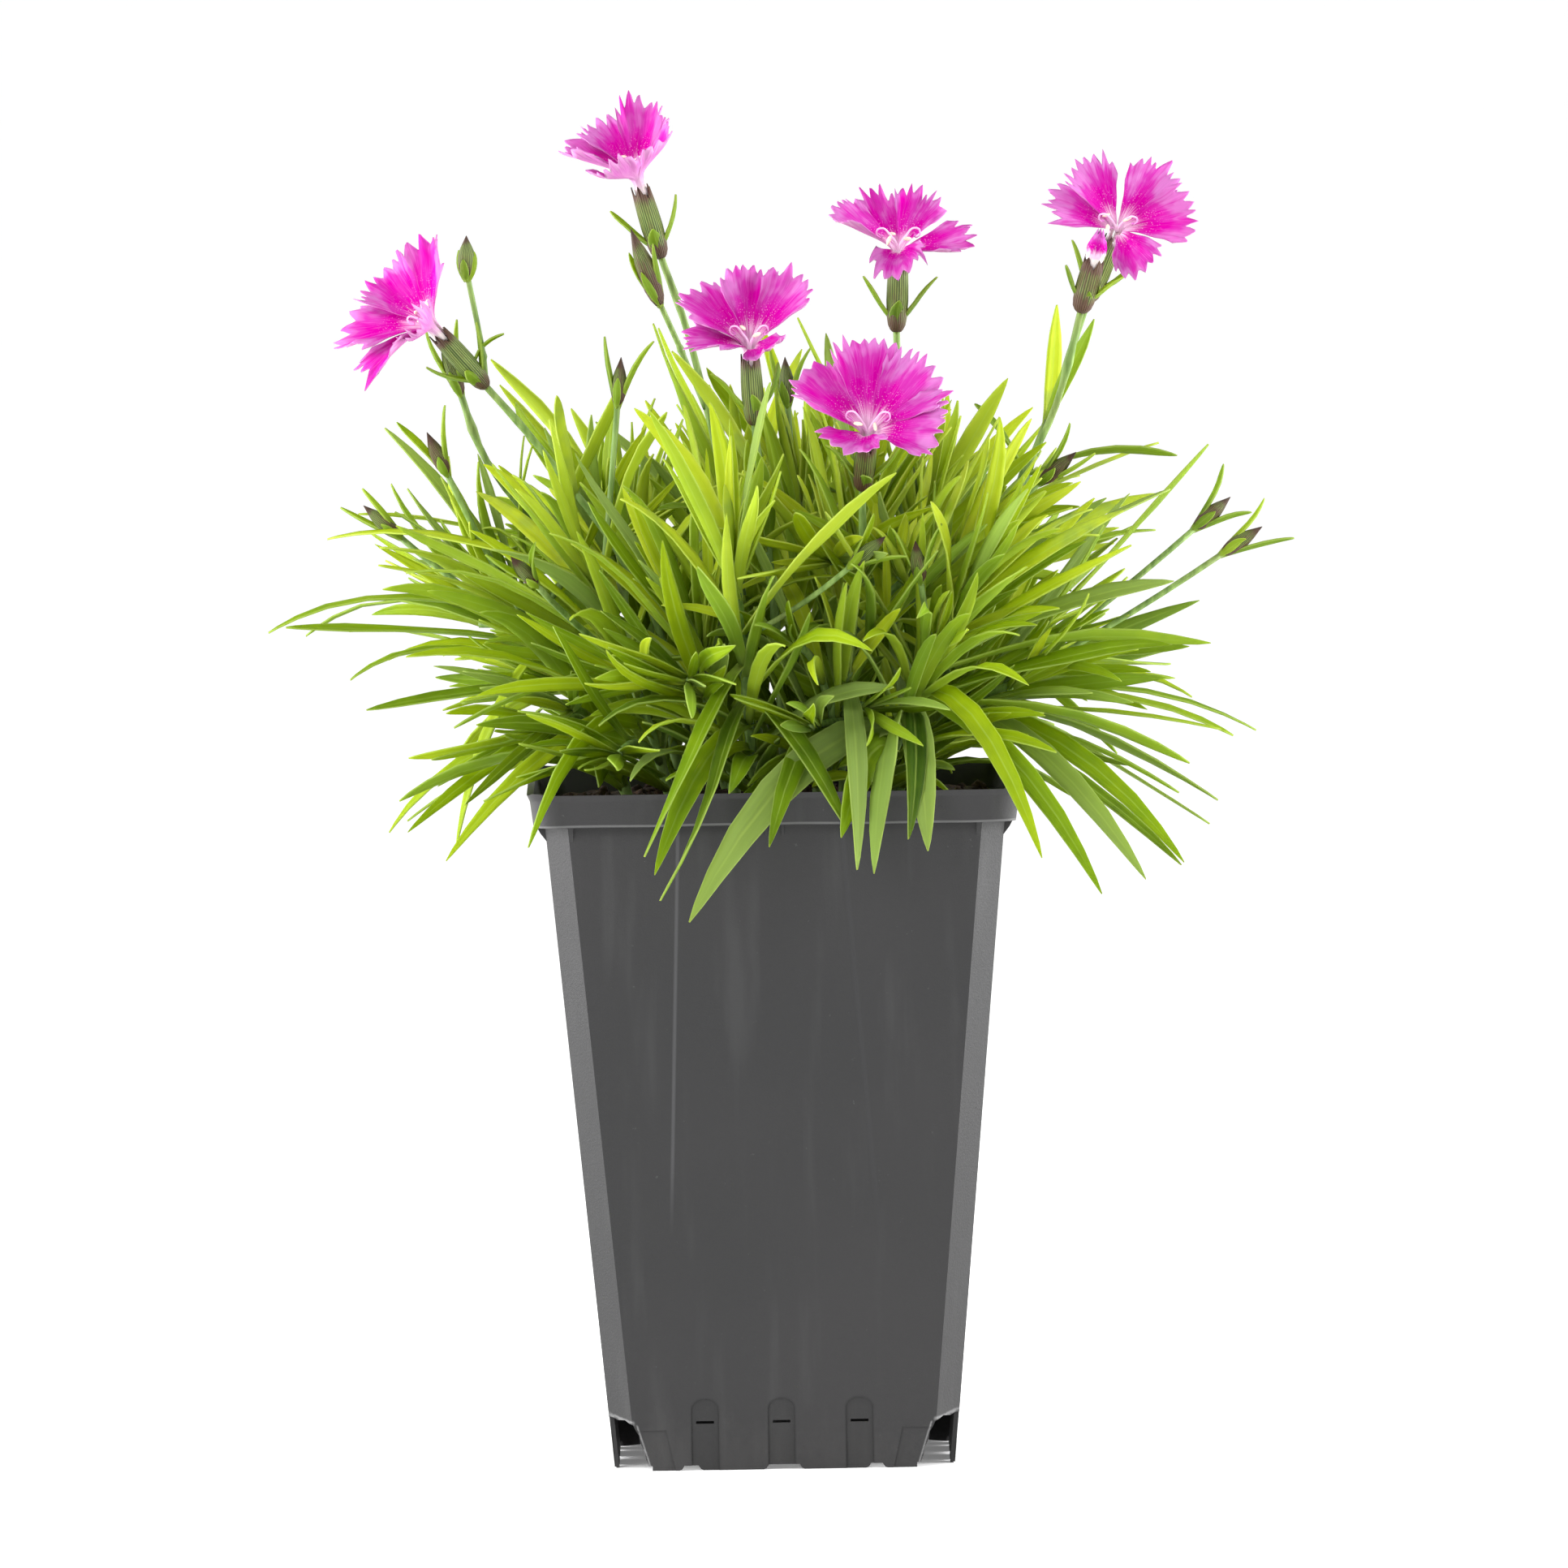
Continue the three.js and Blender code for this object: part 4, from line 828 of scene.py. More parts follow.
def try_fill(node, plant, share, u, azimuth, size=1.0, upright=(-0.2, 1.1), slack=FILL_SLACK):
    """Tries a finer leaf at a place: mostly more upright than the plain ones, narrower, inside the mound."""
    plant = dict(plant, habit=dict(plant["habit"], size=plant["habit"]["size"] * size))
    for attempt in range(FILL_ATTEMPTS):
        blade = paired_blade(plant, share, u, azimuth, attempt, 30, between(*upright))
        blade["width"] *= between(0.68, 1.05)
        middle, _, _ = blade_frames(blade, STATIONS)
        tip_place = (middle[-1] - MOUND_MIDDLE) / MOUND_REACH
        if tip_place @ tip_place > 1.3 or not is_clear(blade, node, slack=slack):
            continue
        keep_blade(node, blade)
        return


def add_rosette(node, plant):
    """A tuft of short leaves at the end of a stem or a twig."""
    turn = between(0, 90)
    for pair in range(3):
        for half_turn in (0, 180):
            try_fill(node, plant, 0.5 + 0.2 * pair, 0.9 + 0.045 * pair, turn + pair * 90 + half_turn,
                     0.62 - 0.1 * pair, (0.2, 0.8), ROSETTE_SLACK)


def twig_curve(plant, number):
    """A way for a side twig, from its stem to the inside of the mound's skin, low ones first."""
    root = plant["curve"](between(0.22, 0.34) + 0.13 * number)
    aim = math.atan2(root[1], root[0]) + math.radians(between(-70, 70))
    height = math.radians(between(-44, 6) + number * 14)
    goal = MOUND_MIDDLE + MOUND_REACH * between(0.45, 0.72) * point(
        math.cos(aim) * math.cos(height), math.sin(aim) * math.cos(height), math.sin(height))
    goal[2] = max(goal[2], POT_HEIGHT + 7)
    return root, goal, arc(root, root * 0.45 + goal * 0.55 + point(0, 0, 6), goal)


def add_twigs():
    for node in shoots:
        plant = plants[node]
        for number in range(TWIGS_PER_SHOOT):
            for _ in range(TWIG_TRIES):
                root, goal, curve = twig_curve(plant, number)
                points = curve(np.linspace(0, 1, 5))
                blocked = any(too_near(node, 0, p, q, TWIG_RADIUS, slack=0.8)
                              for p, q in zip(points[1:], points[2:]))
                length = np.linalg.norm(goal - root)
                if not blocked and length > 12:
                    break
            else:
                continue
            for p, q in zip(points, points[1:]):
                remember(node, 0, p, q, TWIG_RADIUS)
            plant["twigs"].append(curve)
            turn = between(0, 90)
            twig = dict(curve=curve, radius=TWIG_RADIUS, blades=[], habit=dict(size=0.9))
            pairs = max(2, int(length / 6))
            for pair in range(pairs):
                for half_turn in (0, 180):
                    try_fill(node, twig, 0.25 + 0.75 * pair / (pairs - 1), 0.25 + 0.73 * pair / (pairs - 1),
                             turn + pair * 90 + half_turn, between(0.7, 1.0))
            add_rosette(node, twig)


def fill_between():
    for pair in range(PAIRS_PER_SHOOT * 2):
        for node in shoots:
            plant = plants[node]
            share = pair / (PAIRS_PER_SHOOT * 2 - 1)
            u = 0.17 + 0.82 * share
            for quarter in (45, 135, 225, 315):
                try_fill(node, plant, share, u, plant["habit"]["turn"] + quarter, between(0.75, 1.05))
    for node in shoots:
        add_rosette(node, plants[node])


# Leaves that hang over the rim: the place near which each starts, its tip, its arch, width and tint.
# The first is long and broad and lies flat to the front; the others fall from the rim on both sides.
BLUISH = 1.2
RIM_LEAVES = (
    ((22, -22, 138), (-16, -64, 103), 40, 7.6, BLUISH), ((-20, -34, 130), (-19, -56, 119), 14, 3.4, 0.5),
    ((-6, -30, 138), (-22, -60, 113), 22, 5, 0.3), ((12, -32, 132), (-1, -58, 117), 18, 5, 0.2),
    ((18, -34, 130), (12, -58, 118), 14, 6.2, 0.3), ((26, -34, 132), (18, -58, 111), 18, 5.8, BLUISH),
    ((34, -32, 134), (28, -58, 116), 18, 6.4, BLUISH), ((46, -36, 132), (49, -55, 114), 18, 4.6, 0.5),
    ((46, -30, 132), (60, -50, 107), 20, 4.8, 0.3), ((50, -26, 132), (68, -44, 109), 20, 4.8, BLUISH),
    ((50, -20, 132), (75, -36, 113), 20, 4.4, 0.35), ((-48, -16, 130), (-68, -22, 117), 14, 3.2, 0.4),
    ((-46, -22, 132), (-61, -28, 114), 16, 3.6, 0.5), ((-42, -34, 126), (-46, -56, 117), 14, 4, 0.25),
)
COLLAR_STEPS = 64
COLLAR_TRIES = 8


def nearest_root(place, low, high):
    """The shoot and the share of its height where a leaf that starts near a place can grow."""
    ways = [(np.linalg.norm(plants[node]["curve"](u) - place), node, u)
            for node in shoots for u in np.linspace(low, high, 20)]
    _, node, u = min(ways)
    return node, plants[node]["curve"](u)


def add_rim_leaves():
    """Lays each leaf over the rim; its arch grows until it clears the lip."""
    for place, tip, arch, width, tint in RIM_LEAVES:
        node, root = nearest_root(point(*place), 0.2, 0.8)
        while True:
            lift = point(0, 0, arch)
            blade = dict(root=root, start=point(*tip) - root + lift, bend=-lift, up=point(0, -1, 0.5),
                         width=width, twist=0, turn=0, tint=tint)
            middle, _, _ = blade_frames(blade, np.linspace(0.1, 1, 19))
            if arch > 90 or all(clears_pot(spot, 0.6) for spot in middle):
                break
            arch += 3
        keep_blade(node, blade)


def add_collar():
    """Short leaves all around, low in the pot, that hide its inside."""
    for step in range(COLLAR_STEPS):
        for _ in range(COLLAR_TRIES):
            angle = math.tau * (step + between(-0.5, 0.5)) / COLLAR_STEPS
            way = point(math.cos(angle), math.sin(angle), 0)
            way /= max(abs(way))  # from the middle to the square rim
            goal = way * between(36, 52) + point(0, 0, between(128, 142))
            node, root = nearest_root(way * between(16, 32) + point(0, 0, 122), 0.06, 0.4)
            lift = point(0, 0, between(5, 12))
            blade = dict(root=root, start=goal - root + lift, bend=-lift, up=point(0, 0, 1),
                         width=between(3.2, 4.6), twist=between(-0.4, 0.4))
            if is_clear(blade, node, slack=COLLAR_SLACK):
                keep_blade(node, blade)
                break


def add_core():
    """Leaves through random spots in the middle of the mound, so that no light shows through it."""
    kept = 0
    for _ in range(CORE_LEAVES):
        for _ in range(COLLAR_TRIES):
            spot = point(between(-36, 36), between(-8, 34), between(130, 156))
            node, root = nearest_root(spot - point(0, 0, 12), 0.08, 0.8)
            reach = (spot - root) * between(1.4, 1.8) + point(0, 0, between(3, 9))
            length = np.linalg.norm(reach)
            # Painted shade: core leaves get a dark tint, as deep inside the mound.
            blade = dict(root=root, start=reach, bend=point(0, 0, -0.15 * length), up=point(0, -1, 0.3),
                         width=between(3.6, 5), twist=between(-0.4, 0.4), tint=between(0.0, 0.3))
            if 12 < length < 42 and is_clear(blade, node, slack=2.2):
                keep_blade(node, blade)
                kept += 1
                break
    print("leaves in the core:", kept)


# The left flower's stem stays in sight: nothing grows just in front of it.
def keep_stem_in_sight():
    curve = plants["flower_stem_left"]["curve"]
    points = curve(np.linspace(0.3, 0.95, 9))
    for nearer in (5, 11, 17):
        for p, q in zip(points, points[1:]):
            remember("flower_stem_left", 0, p - point(0, nearer, 0), q - point(0, nearer, 0), 4.0)


add_rim_leaves()
keep_stem_in_sight()
add_collar()
for node in shoots:
    plants[node]["twigs"] = []
add_twigs()
fill_between()
add_core()
print("leaves with the finer ones:", sum(len(plant["blades"]) for plant in plants.values()),
      "twigs:", sum(len(plants[node]["twigs"]) for node in shoots))

# %% [markdown]
# ## Templates
# A leaf, a stretch of stem, a petal: each shape that repeats is modelled once, flat or straight, in
# simple units. A copy is then laid along its own curve by moving its points, and it keeps its own
# mesh. The chart (a UV map) and the marks (numbers on the points) come along with every
# copy, so one finish suits them all.

# %% Copying a template
def points_of(mesh):
    flat = np.empty(len(mesh.vertices) * 3)
    mesh.vertices.foreach_get("co", flat)
    return flat.reshape(-1, 3)


def put_mark(mesh, name, values):
    layer = mesh.attributes.get(name) or mesh.attributes.new(name, "FLOAT", "POINT")
    layer.data.foreach_set("value", np.broadcast_to(values, len(mesh.vertices)).astype(np.float32))


def as_template(piece, material):
    """Takes a modelled piece off the stage and keeps its mesh, and its points, to be copied."""
    mesh = piece.data
    mesh.materials.clear()
    mesh.materials.append(material)
    if mesh.uv_layers:
        mesh.uv_layers[0].name = "chart"
    bpy.data.objects.remove(piece)
    print("template", mesh.name, "faces:", len(mesh.polygons))
    return mesh, points_of(mesh)


def lay_copy(template, points, **marks):
    """A copy of a template with its own mesh, its points at the places given in millimetres."""
    mesh = template.copy()
    mesh.vertices.foreach_set("co", (points * MM).ravel())
    for name, values in marks.items():
        put_mark(mesh, name, values)
    copy = bpy.data.objects.new(template.name, mesh)
    bpy.context.scene.collection.objects.link(copy)
    return copy


def join(pieces, name):
    deselect()
    for piece in pieces:
        piece.select_set(True)
    bpy.context.view_layer.objects.active = pieces[0]
    if len(pieces) > 1:
        bpy.ops.object.join()
    joined = bpy.context.view_layer.objects.active
    joined.name = name
    joined.data.name = name
    bpy.ops.object.shade_smooth()
    return joined


made = []


def finished(piece, slot, *nodes):
    """A finished piece rides on the one body and stands for its nodes, which are hidden. Its slot is not
    used.
    """
    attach(piece, "root")
    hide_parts(*nodes)
    made.append(piece)


def outline_rows(piece, axis, rows, tolerance=0.004):
    """Resizes row after row of a piece: rows gives each row's place along the axis and its factors."""
    for at, factors in rows:
        if select_points(piece, lambda co: abs(co[axis] - at) < tolerance) == 0:
            print("no points at", at)
        centre = [0, 0, 0]
        centre[axis] = at
        resize(factors, centre)


def circle_column(heights, sides, name):
    """A closed upright column with a ring of points at each height: a disc, extruded step by step."""
    column = add_shape(bpy.ops.mesh.primitive_circle_add, vertices=sides, radius=1, fill_type="NGON",
                       location=(0, 0, heights[0]), name=name)
    apply_place()
    edit(column)
    select_all()
    for low, high in zip(heights, heights[1:]):
        extrude((0, 0, high - low))
    return column


def face_outwards(piece):
    edit(piece)
    select_all()
    bpy.ops.mesh.normals_make_consistent(inside=False)
    close_edit()


# %% [markdown]
# ### The leaf
# A dianthus leaf is narrow, keeps its width for most of its length and is folded like a shallow
# gutter. A grid gives it rows across and along. Each row is resized to the blade's outline and
# moved, so that most rows lie near the tip, and Solidify makes the sheet a thin closed body. The
# gutter is pressed in when a copy is laid.

# %% Model the leaf once
LEAF_CELLS = (4, 8)
LEAF_SHEET = 0.34
# For each row of points: its place along the leaf and its share of the full width.
LEAF_ROWS = (
    (0, 0.45), (0.12, 0.6), (0.28, 0.88), (0.44, 1.0), (0.6, 0.96),
    (0.76, 0.78), (0.88, 0.5), (0.96, 0.24), (1, 0.04),
)
leaf = add_shape(bpy.ops.mesh.primitive_grid_add, x_subdivisions=LEAF_CELLS[0], y_subdivisions=LEAF_CELLS[1],
                 size=2, name="leaf_blade")
edit(leaf)
for row in reversed(range(LEAF_CELLS[1] + 1)):
    # From the tip down, so that a moved row never meets one that is still in its old place.
    place, share = LEAF_ROWS[row]
    old_place = 2 * row / LEAF_CELLS[1] - 1
    select_points(leaf, lambda co: abs(co.y - old_place) < 0.004)
    resize((share, 1, 1), (0, old_place, 0))
    move((0, 2 * place - 1 - old_place, 0))
select_all()
move((0, 1, 0))
resize((1, 0.5, 1))
close_edit()
apply_modifier(leaf, "SOLIDIFY", thickness=LEAF_SHEET, offset=0)
put_mark(leaf.data, "upper", points_of(leaf.data)[:, 2] > 0)

# %% [markdown]
# ### The green finishes
# A leaf is yellow green with a faintly paler midrib and edge, fine lines run along it, and some leaves are
# deeper green than others: partly at random, and partly as painted shade, for low leaves in the mound are
# painted darker. It also glows a little when lit from behind. Stalks are bluish green; a calyx has fine
# stripes and is flushed brown and purple towards its foot and its teeth.

# %% Leaf, stalk and calyx finishes
finish = leaf_finish = Finish("leaf_green", Specular_IOR_Level=0.14)
u, v = finish.chart()
tint, upper = finish.mark("tint"), finish.mark("upper")
across = abs(u - 0.5) * 2
here = finish.place()
mottle = finish.noise(here, 260, 2)
cloud = finish.noise(here, 45, 1)
lines = finish.noise(finish.join(u * 26, v * 1.2, tint * 40), 1, 1)
green = finish.ramp(
    tint + (mottle - 0.5) * 0.25 + (cloud - 0.5) * 0.3,
    (0.0, colour(46, 72, 12)), (0.3, colour(104, 134, 6)), (0.6, colour(156, 176, 14)),
    (0.88, colour(190, 202, 46)), (1.0, colour(126, 148, 76)))
green = finish.mix((lines - 0.5) * 0.5, green, colour(176, 204, 84))
sheath = 1 - v.step(0.0, 0.2)
green = finish.mix(sheath * 0.6, green, colour(184, 204, 100))
midrib = (1 - across.step(0.02, 0.14)) * (1 - v.step(0.6, 0.95))
green = finish.mix(midrib * 0.28, green, colour(186, 208, 100))
green = finish.mix(across.step(0.88, 1.0) * 0.35, green, colour(196, 214, 120))
green = finish.mix(v.step(0.96, 1.0) * 0.3, green, colour(176, 170, 90))
green = finish.mix((1 - upper) * 0.25, green, colour(140, 176, 80))
finish.feed(Base_Color=green, Roughness=0.5 + mottle * 0.15)
finish.bump(lines * 0.6 + across * 0.4, 0.00006)
finish.let_light_through(0.36, colour(200, 218, 12))

finish = stalk_finish = Finish("stalk_green", Roughness=0.55, Specular_IOR_Level=0.3)
here = finish.place()
grain = finish.noise(finish.stretch(here, 1, 1, 0.12), 900, 2)
patches = finish.noise(here, 90, 2)
green = finish.ramp(grain, (0.3, colour(84, 112, 48)), (0.7, colour(132, 160, 84)))
green = finish.mix(patches.step(0.5, 0.8) * 0.25, green, colour(128, 104, 70))
finish.feed(Base_Color=green)
finish.bump(grain, 0.00006)

# On a calyx and a bud, along runs from foot to teeth; thirty stripes go around it.
finish = calyx_finish = Finish("calyx_skin", Roughness=0.5, Specular_IOR_Level=0.3)
around, along = finish.chart()
flush = finish.mark("flush")
here = finish.place()
patches = finish.noise(here, 240, 3)
streaks = finish.noise(finish.join(around * 30, along * 1.6, flush * 9), 1, 2)
stripe = finish.add("ShaderNodeMath", {"operation": "SINE"}, {0: around * 188})
skin = finish.mix((stripe * 0.3 + streaks).step(0.1, 0.9), colour(50, 66, 28), colour(126, 144, 70))
foot = (1 - along.step(0.0, 0.45)) * 0.8
teeth = along.step(0.7, 0.92)
brown = foot + teeth * 0.9 + (patches - 0.48) * 1.4 + (streaks - 0.5) * 1.4 + flush
skin = finish.mix(brown.step(0.1, 0.95) * 0.85, skin, colour(78, 38, 40))
skin = finish.mix(along.step(0.985, 1.0) * 0.6, skin, colour(178, 154, 120))
finish.feed(Base_Color=skin, Roughness=0.45 + patches * 0.2)
finish.bump(stripe, 0.00005)

# %% Keep the leaf, model a stretch of stem once
leaf_template, leaf_points = as_template(leaf, leaf_finish.material)

STEM_RINGS = 20
stem = circle_column(list(np.linspace(0, 1, STEM_RINGS + 1)), 9, name="stem_stretch")
close_edit()
face_outwards(stem)
stem_template, stem_points = as_template(stem, stalk_finish.material)

FINE_STEM_RINGS = 8
fine_stem = circle_column(list(np.linspace(0, 1, FINE_STEM_RINGS + 1)), 6, name="fine_stem_stretch")
close_edit()
face_outwards(fine_stem)
fine_template, fine_points = as_template(fine_stem, stalk_finish.material)


JOINT_SWELLING = 0.45
JOINT_LENGTH = 0.02


def lay_tube(template, template_points, curve, radius, joints=()):
    """Lays a column along a curve, with a slight swelling at each joint, where leaves sit."""
    stations = np.unique(np.round(template_points[:, 2], 5))
    middles = curve(stations)
    along = unit(np.gradient(middles, axis=0))
    side = unit(np.cross(along[0], point(0.3, 1, 0.2)))
    sides = []
    for way in along:
        side = unit(side - way * (side @ way))
        sides.append(side)
    sides = np.array(sides)
    others = np.cross(along, sides)
    ring = np.searchsorted(stations, np.round(template_points[:, 2], 5))
    if callable(radius):
        girth = radius(template_points[:, 2])
    else:
        girth = np.full(len(template_points), float(radius))
    for joint in joints:
        girth = girth * (1 + JOINT_SWELLING * np.exp(-((template_points[:, 2] - joint) / JOINT_LENGTH) ** 2))
    x, y = template_points[:, 0:1] * girth[:, None], template_points[:, 1:2] * girth[:, None]
    return lay_copy(template, middles[ring] + sides[ring] * x + others[ring] * y)


def lay_leaf(blade, fold=LEAF_FOLD, tint=None, wave=0.12, broad=0.9):
    """Lays a leaf along its blade. The gutter is deeper at the foot, where it clasps the stem, and
    the outer half turns and curls a little more than the plain blade."""
    t = leaf_points[:, 1]
    middle, side, up = blade_frames(blade, t)
    turn = (blade.get("turn", between(-0.9, 0.9)) * t ** 2)[:, None]
    side, up = side * np.cos(turn) + up * np.sin(turn), up * np.cos(turn) - side * np.sin(turn)
    across = leaf_points[:, 0] * blade["width"] * broad / 2
    gutter = fold + 0.5 * (1 - t) ** 4
    ripple = wave * np.sin(t * 11 + blade["width"] * 37) * np.sign(across) * (across / 2) ** 2
    length = np.linalg.norm(blade["start"] + blade["bend"])
    curl = between(-0.11, 0.07) * length * np.clip((t - 0.5) / 0.5, 0, 1) ** 2
    rise = np.abs(across) * gutter + leaf_points[:, 2] + ripple + curl
    sway = side * (between(-0.11, 0.11) * length * t ** 2)[:, None]
    if "turn" not in blade and all(clears_pot(spot, 0.8) for spot in (middle + sway)[::5]):
        middle = middle + sway
    placed = middle + side * across[:, None] + up * rise[:, None]
    return lay_copy(leaf_template, placed, tint=draw() if tint is None else tint)


BLUISH_SHARE = 0.11


def leaf_tint_and_shade(blade):
    """Low leaves are painted darker than high ones, as painted shade deep in the mound, and high ones paler
    and yellower. The tint also varies at random, and a few leaves are bluish.
    """
    height = (blade["root"][2] + blade["start"][2] * 0.5 - 125) / 55
    if draw() < BLUISH_SHARE:
        usual = BLUISH
    else:
        # Painted shade: the tint falls with height, so low leaves come out darker.
        usual = min(0.88, max(0.0, 0.12 + 0.55 * height + between(-0.3, 0.38)))
    return blade.get("tint", usual)


# %% Lay the shoots: stems, twigs and leaves
BUNCHES = 6  # the mound is finished in so many pieces
bunches = [[] for _ in range(BUNCHES)]
stem_bunches = [[] for _ in range(BUNCHES)]
low_buds = []
for k, node in enumerate(shoots):
    plant = plants[node]
    bunch = k % BUNCHES
    bunches[bunch] += [lay_leaf(blade, tint=leaf_tint_and_shade(blade)) for blade in plant["blades"]]
    joints = np.linspace(plant["habit"]["low"], plant["habit"]["high"], PAIRS_PER_SHOOT)
    taper = lambda t: SHOOT_RADIUS * (1 - 0.3 * t)
    stem_bunches[bunch].append(lay_tube(stem_template, stem_points, plant["curve"], taper, joints))
    for twig in plant["twigs"]:
        stem_bunches[bunch].append(lay_tube(fine_template, fine_points, twig, TWIG_RADIUS))
    for stalk, base, tip in plant["buds"]:
        stem_bunches[bunch].append(lay_tube(fine_template, fine_points, stalk, STALK_RADIUS * 0.9))
        low_buds.append((base, tip, node))
for number in range(BUNCHES):
    nodes = [node for k, node in enumerate(shoots) if k % BUNCHES == number]
    finished(join(bunches[number], f"leaves_{number + 1}"), "leaf", *nodes)
    finished(join(stem_bunches[number], f"shoot_stems_{number + 1}"), "stalk", *nodes)
print("leaf faces:", sum(len(piece.data.polygons) for piece in made))

# %% [markdown]
# ### The calyx and the buds
# A calyx is a tube of five joined sepals, so its mouth has five pointed teeth. It starts as a disc
# that is extruded step by step; each ring is resized to the outline, the top is inset and pushed down
# for the mouth, and the points between the teeth are drawn down. A closed bud is the same
# column drawn to a point.

# %% Model the calyx, the bud and the opening tip once
CALYX_SIDES = 30
CALYX_RADIUS = 2.05


def at_height(co, height):
    return abs(co.z - height) < 0.004


def turn_of(co, sides):
    """The number of a point, counted around its column."""
    return round(math.atan2(co.y, co.x) / math.tau * sides)


def chart_column(mesh, top=1.0):
    """Lays a chart on a column: across goes once around it, along goes from its foot to its top."""
    chart = mesh.uv_layers.get("chart") or mesh.uv_layers.new(name="chart")
    for face in mesh.polygons:
        turns = []
        for corner in face.loop_indices:
            place = mesh.vertices[mesh.loops[corner].vertex_index].co
            turns.append((math.atan2(place.y, place.x) / math.tau) % 1)
        wraps = max(turns) - min(turns) > 0.5
        for corner, around in zip(face.loop_indices, turns):
            place = mesh.vertices[mesh.loops[corner].vertex_index].co
            chart.data[corner].uv = (around + 1 if wraps and around < 0.5 else around, place.z / top)


def column_template(piece, material, top=1.0):
    for layer in list(piece.data.uv_layers):
        piece.data.uv_layers.remove(layer)
    face_outwards(piece)
    chart_column(piece.data, top)
    return as_template(piece, material)


calyx_profile = (
    (0, 0.42), (0.03, 0.6), (0.09, 0.8), (0.2, 0.92), (0.42, 1.0), (0.62, 0.98), (0.78, 0.93), (1, 0.86),
)
calyx = circle_column([z for z, _ in calyx_profile], CALYX_SIDES, name="calyx_tube")
outline_rows(calyx, 2, [(z, (share, share, 1)) for z, share in calyx_profile])
select_points(calyx, lambda middle, normal: middle.z > 0.99 and normal.z > 0.5, "FACE")
bpy.ops.mesh.inset(thickness=0.1)
extrude((0, 0, -0.3))
TOOTH_DROPS = (0, 0.055, 0.125, 0.19, 0.125, 0.055)
for place, drop in enumerate(TOOTH_DROPS):
    select_points(calyx, lambda co: co.z > 0.995 and turn_of(co, CALYX_SIDES) % len(TOOTH_DROPS) == place)
    move((0, 0, -drop))
close_edit()
calyx_template, calyx_points = column_template(calyx, calyx_finish.material)

bud_profile = (
    (-0.04, 0.42), (0.05, 0.72), (0.18, 0.92), (0.36, 1.0), (0.54, 0.92),
    (0.7, 0.66), (0.84, 0.36), (0.94, 0.15), (1, 0.03),
)
BUD_SIDES = 12
BUD_SEAM_EVERY = 4
BUD_SEAM_SHARE = 0.88
bud = circle_column([z for z, _ in bud_profile], BUD_SIDES, name="closed_bud")
outline_rows(bud, 2, [(z, (share, share, 1)) for z, share in bud_profile])
for z, _ in bud_profile[2:7]:
    # Three seams run up the bud where its sepals meet.
    select_points(bud, lambda co: at_height(co, z) and turn_of(co, BUD_SIDES) % BUD_SEAM_EVERY == 0)
    resize((BUD_SEAM_SHARE, BUD_SEAM_SHARE, 1), (0, 0, z))
close_edit()
bud_template, bud_points = column_template(bud, calyx_finish.material)


def upright_to(at, direction, points, turn=0.0):
    """Turns points made along +Z so that they start at a place and run along a direction."""
    tilt = Vector((0, 0, 1)).rotation_difference(Vector(direction)).to_matrix()
    turned_points = points @ np.array(tilt @ Matrix.Rotation(turn, 3, "Z")).T
    return turned_points + at


def lay_column(template, points, base, tip, radius, turn=0.0, **marks):
    base, tip = point(*base), point(*tip)
    size = point(radius, radius, np.linalg.norm(tip - base))
    return lay_copy(template, upright_to(base, unit(tip - base), points * size, turn), **marks)


def lay_bracts(base, axis, size):
    """Two spreading bracts at the foot of a calyx, and two pressed to it at right angles."""
    across = unit(np.cross(point(0, 1, 0), axis))
    behind = np.cross(axis, across)
    pieces = []
    for side in (-1, 1):
        way = across * side
        blade = dict(root=base + axis * 0.9, start=(axis + way * 0.95) * 9.5 * size,
                     bend=way * -2.7 * size + axis * between(-0.6, 0.8), up=axis,
                     width=2.3, twist=between(-0.3, 0.3))
        pieces.append(lay_leaf(blade, 0.35, between(0.1, 0.4), broad=1.0))
        way = behind * side
        blade = dict(root=base + way * 0.5 - axis * 0.4, start=axis * 6.6 * size + way * 3.4 * size,
                     bend=way * -1.5 * size, up=axis, width=2.9 * size ** 0.5, twist=0)
        pieces.append(lay_leaf(blade, 0.55, between(0.1, 0.4), broad=1.0))
    return pieces


def wrap_bud(base, axis, length, radius, longest):
    """Four narrow leaves that hold a closed bud: two hug it and two reach further, up to a share of it."""
    across = unit(np.cross(point(0.3, 1, 0.1), axis))
    behind = np.cross(axis, across)
    pieces = []
    for way, long in ((across, True), (-across, True), (behind, False), (-behind, False)):
        reach = length * (longest * between(0.75, 1.0) if long else between(0.4, 0.55))
        spread = between(1.3, 3.4) * longest if long else radius * 0.9
        blade = dict(root=base - axis * 1.2 + way * 0.4, start=axis * (reach + 1.2) + way * radius * 2.6,
                     bend=way * (spread - radius * 2.6), up=axis, width=1.9 if long else 1.6, twist=0)
        pieces.append(lay_leaf(blade, 0.5, between(0.15, 0.5), broad=1.0))
    return pieces


# %% [markdown]
# ### Flower stems
# Each stem carries its calyx, its bracts and, on two of them, a side stalk with a closed bud. The
# stems keep the ways of the construction model.

# %% Lay the flower stems
CALYX_FLUSH = {"left": 0.05, "top": 0.2, "middle": 0.05, "rear": 0.1, "front": 0.5, "right": 0.1}


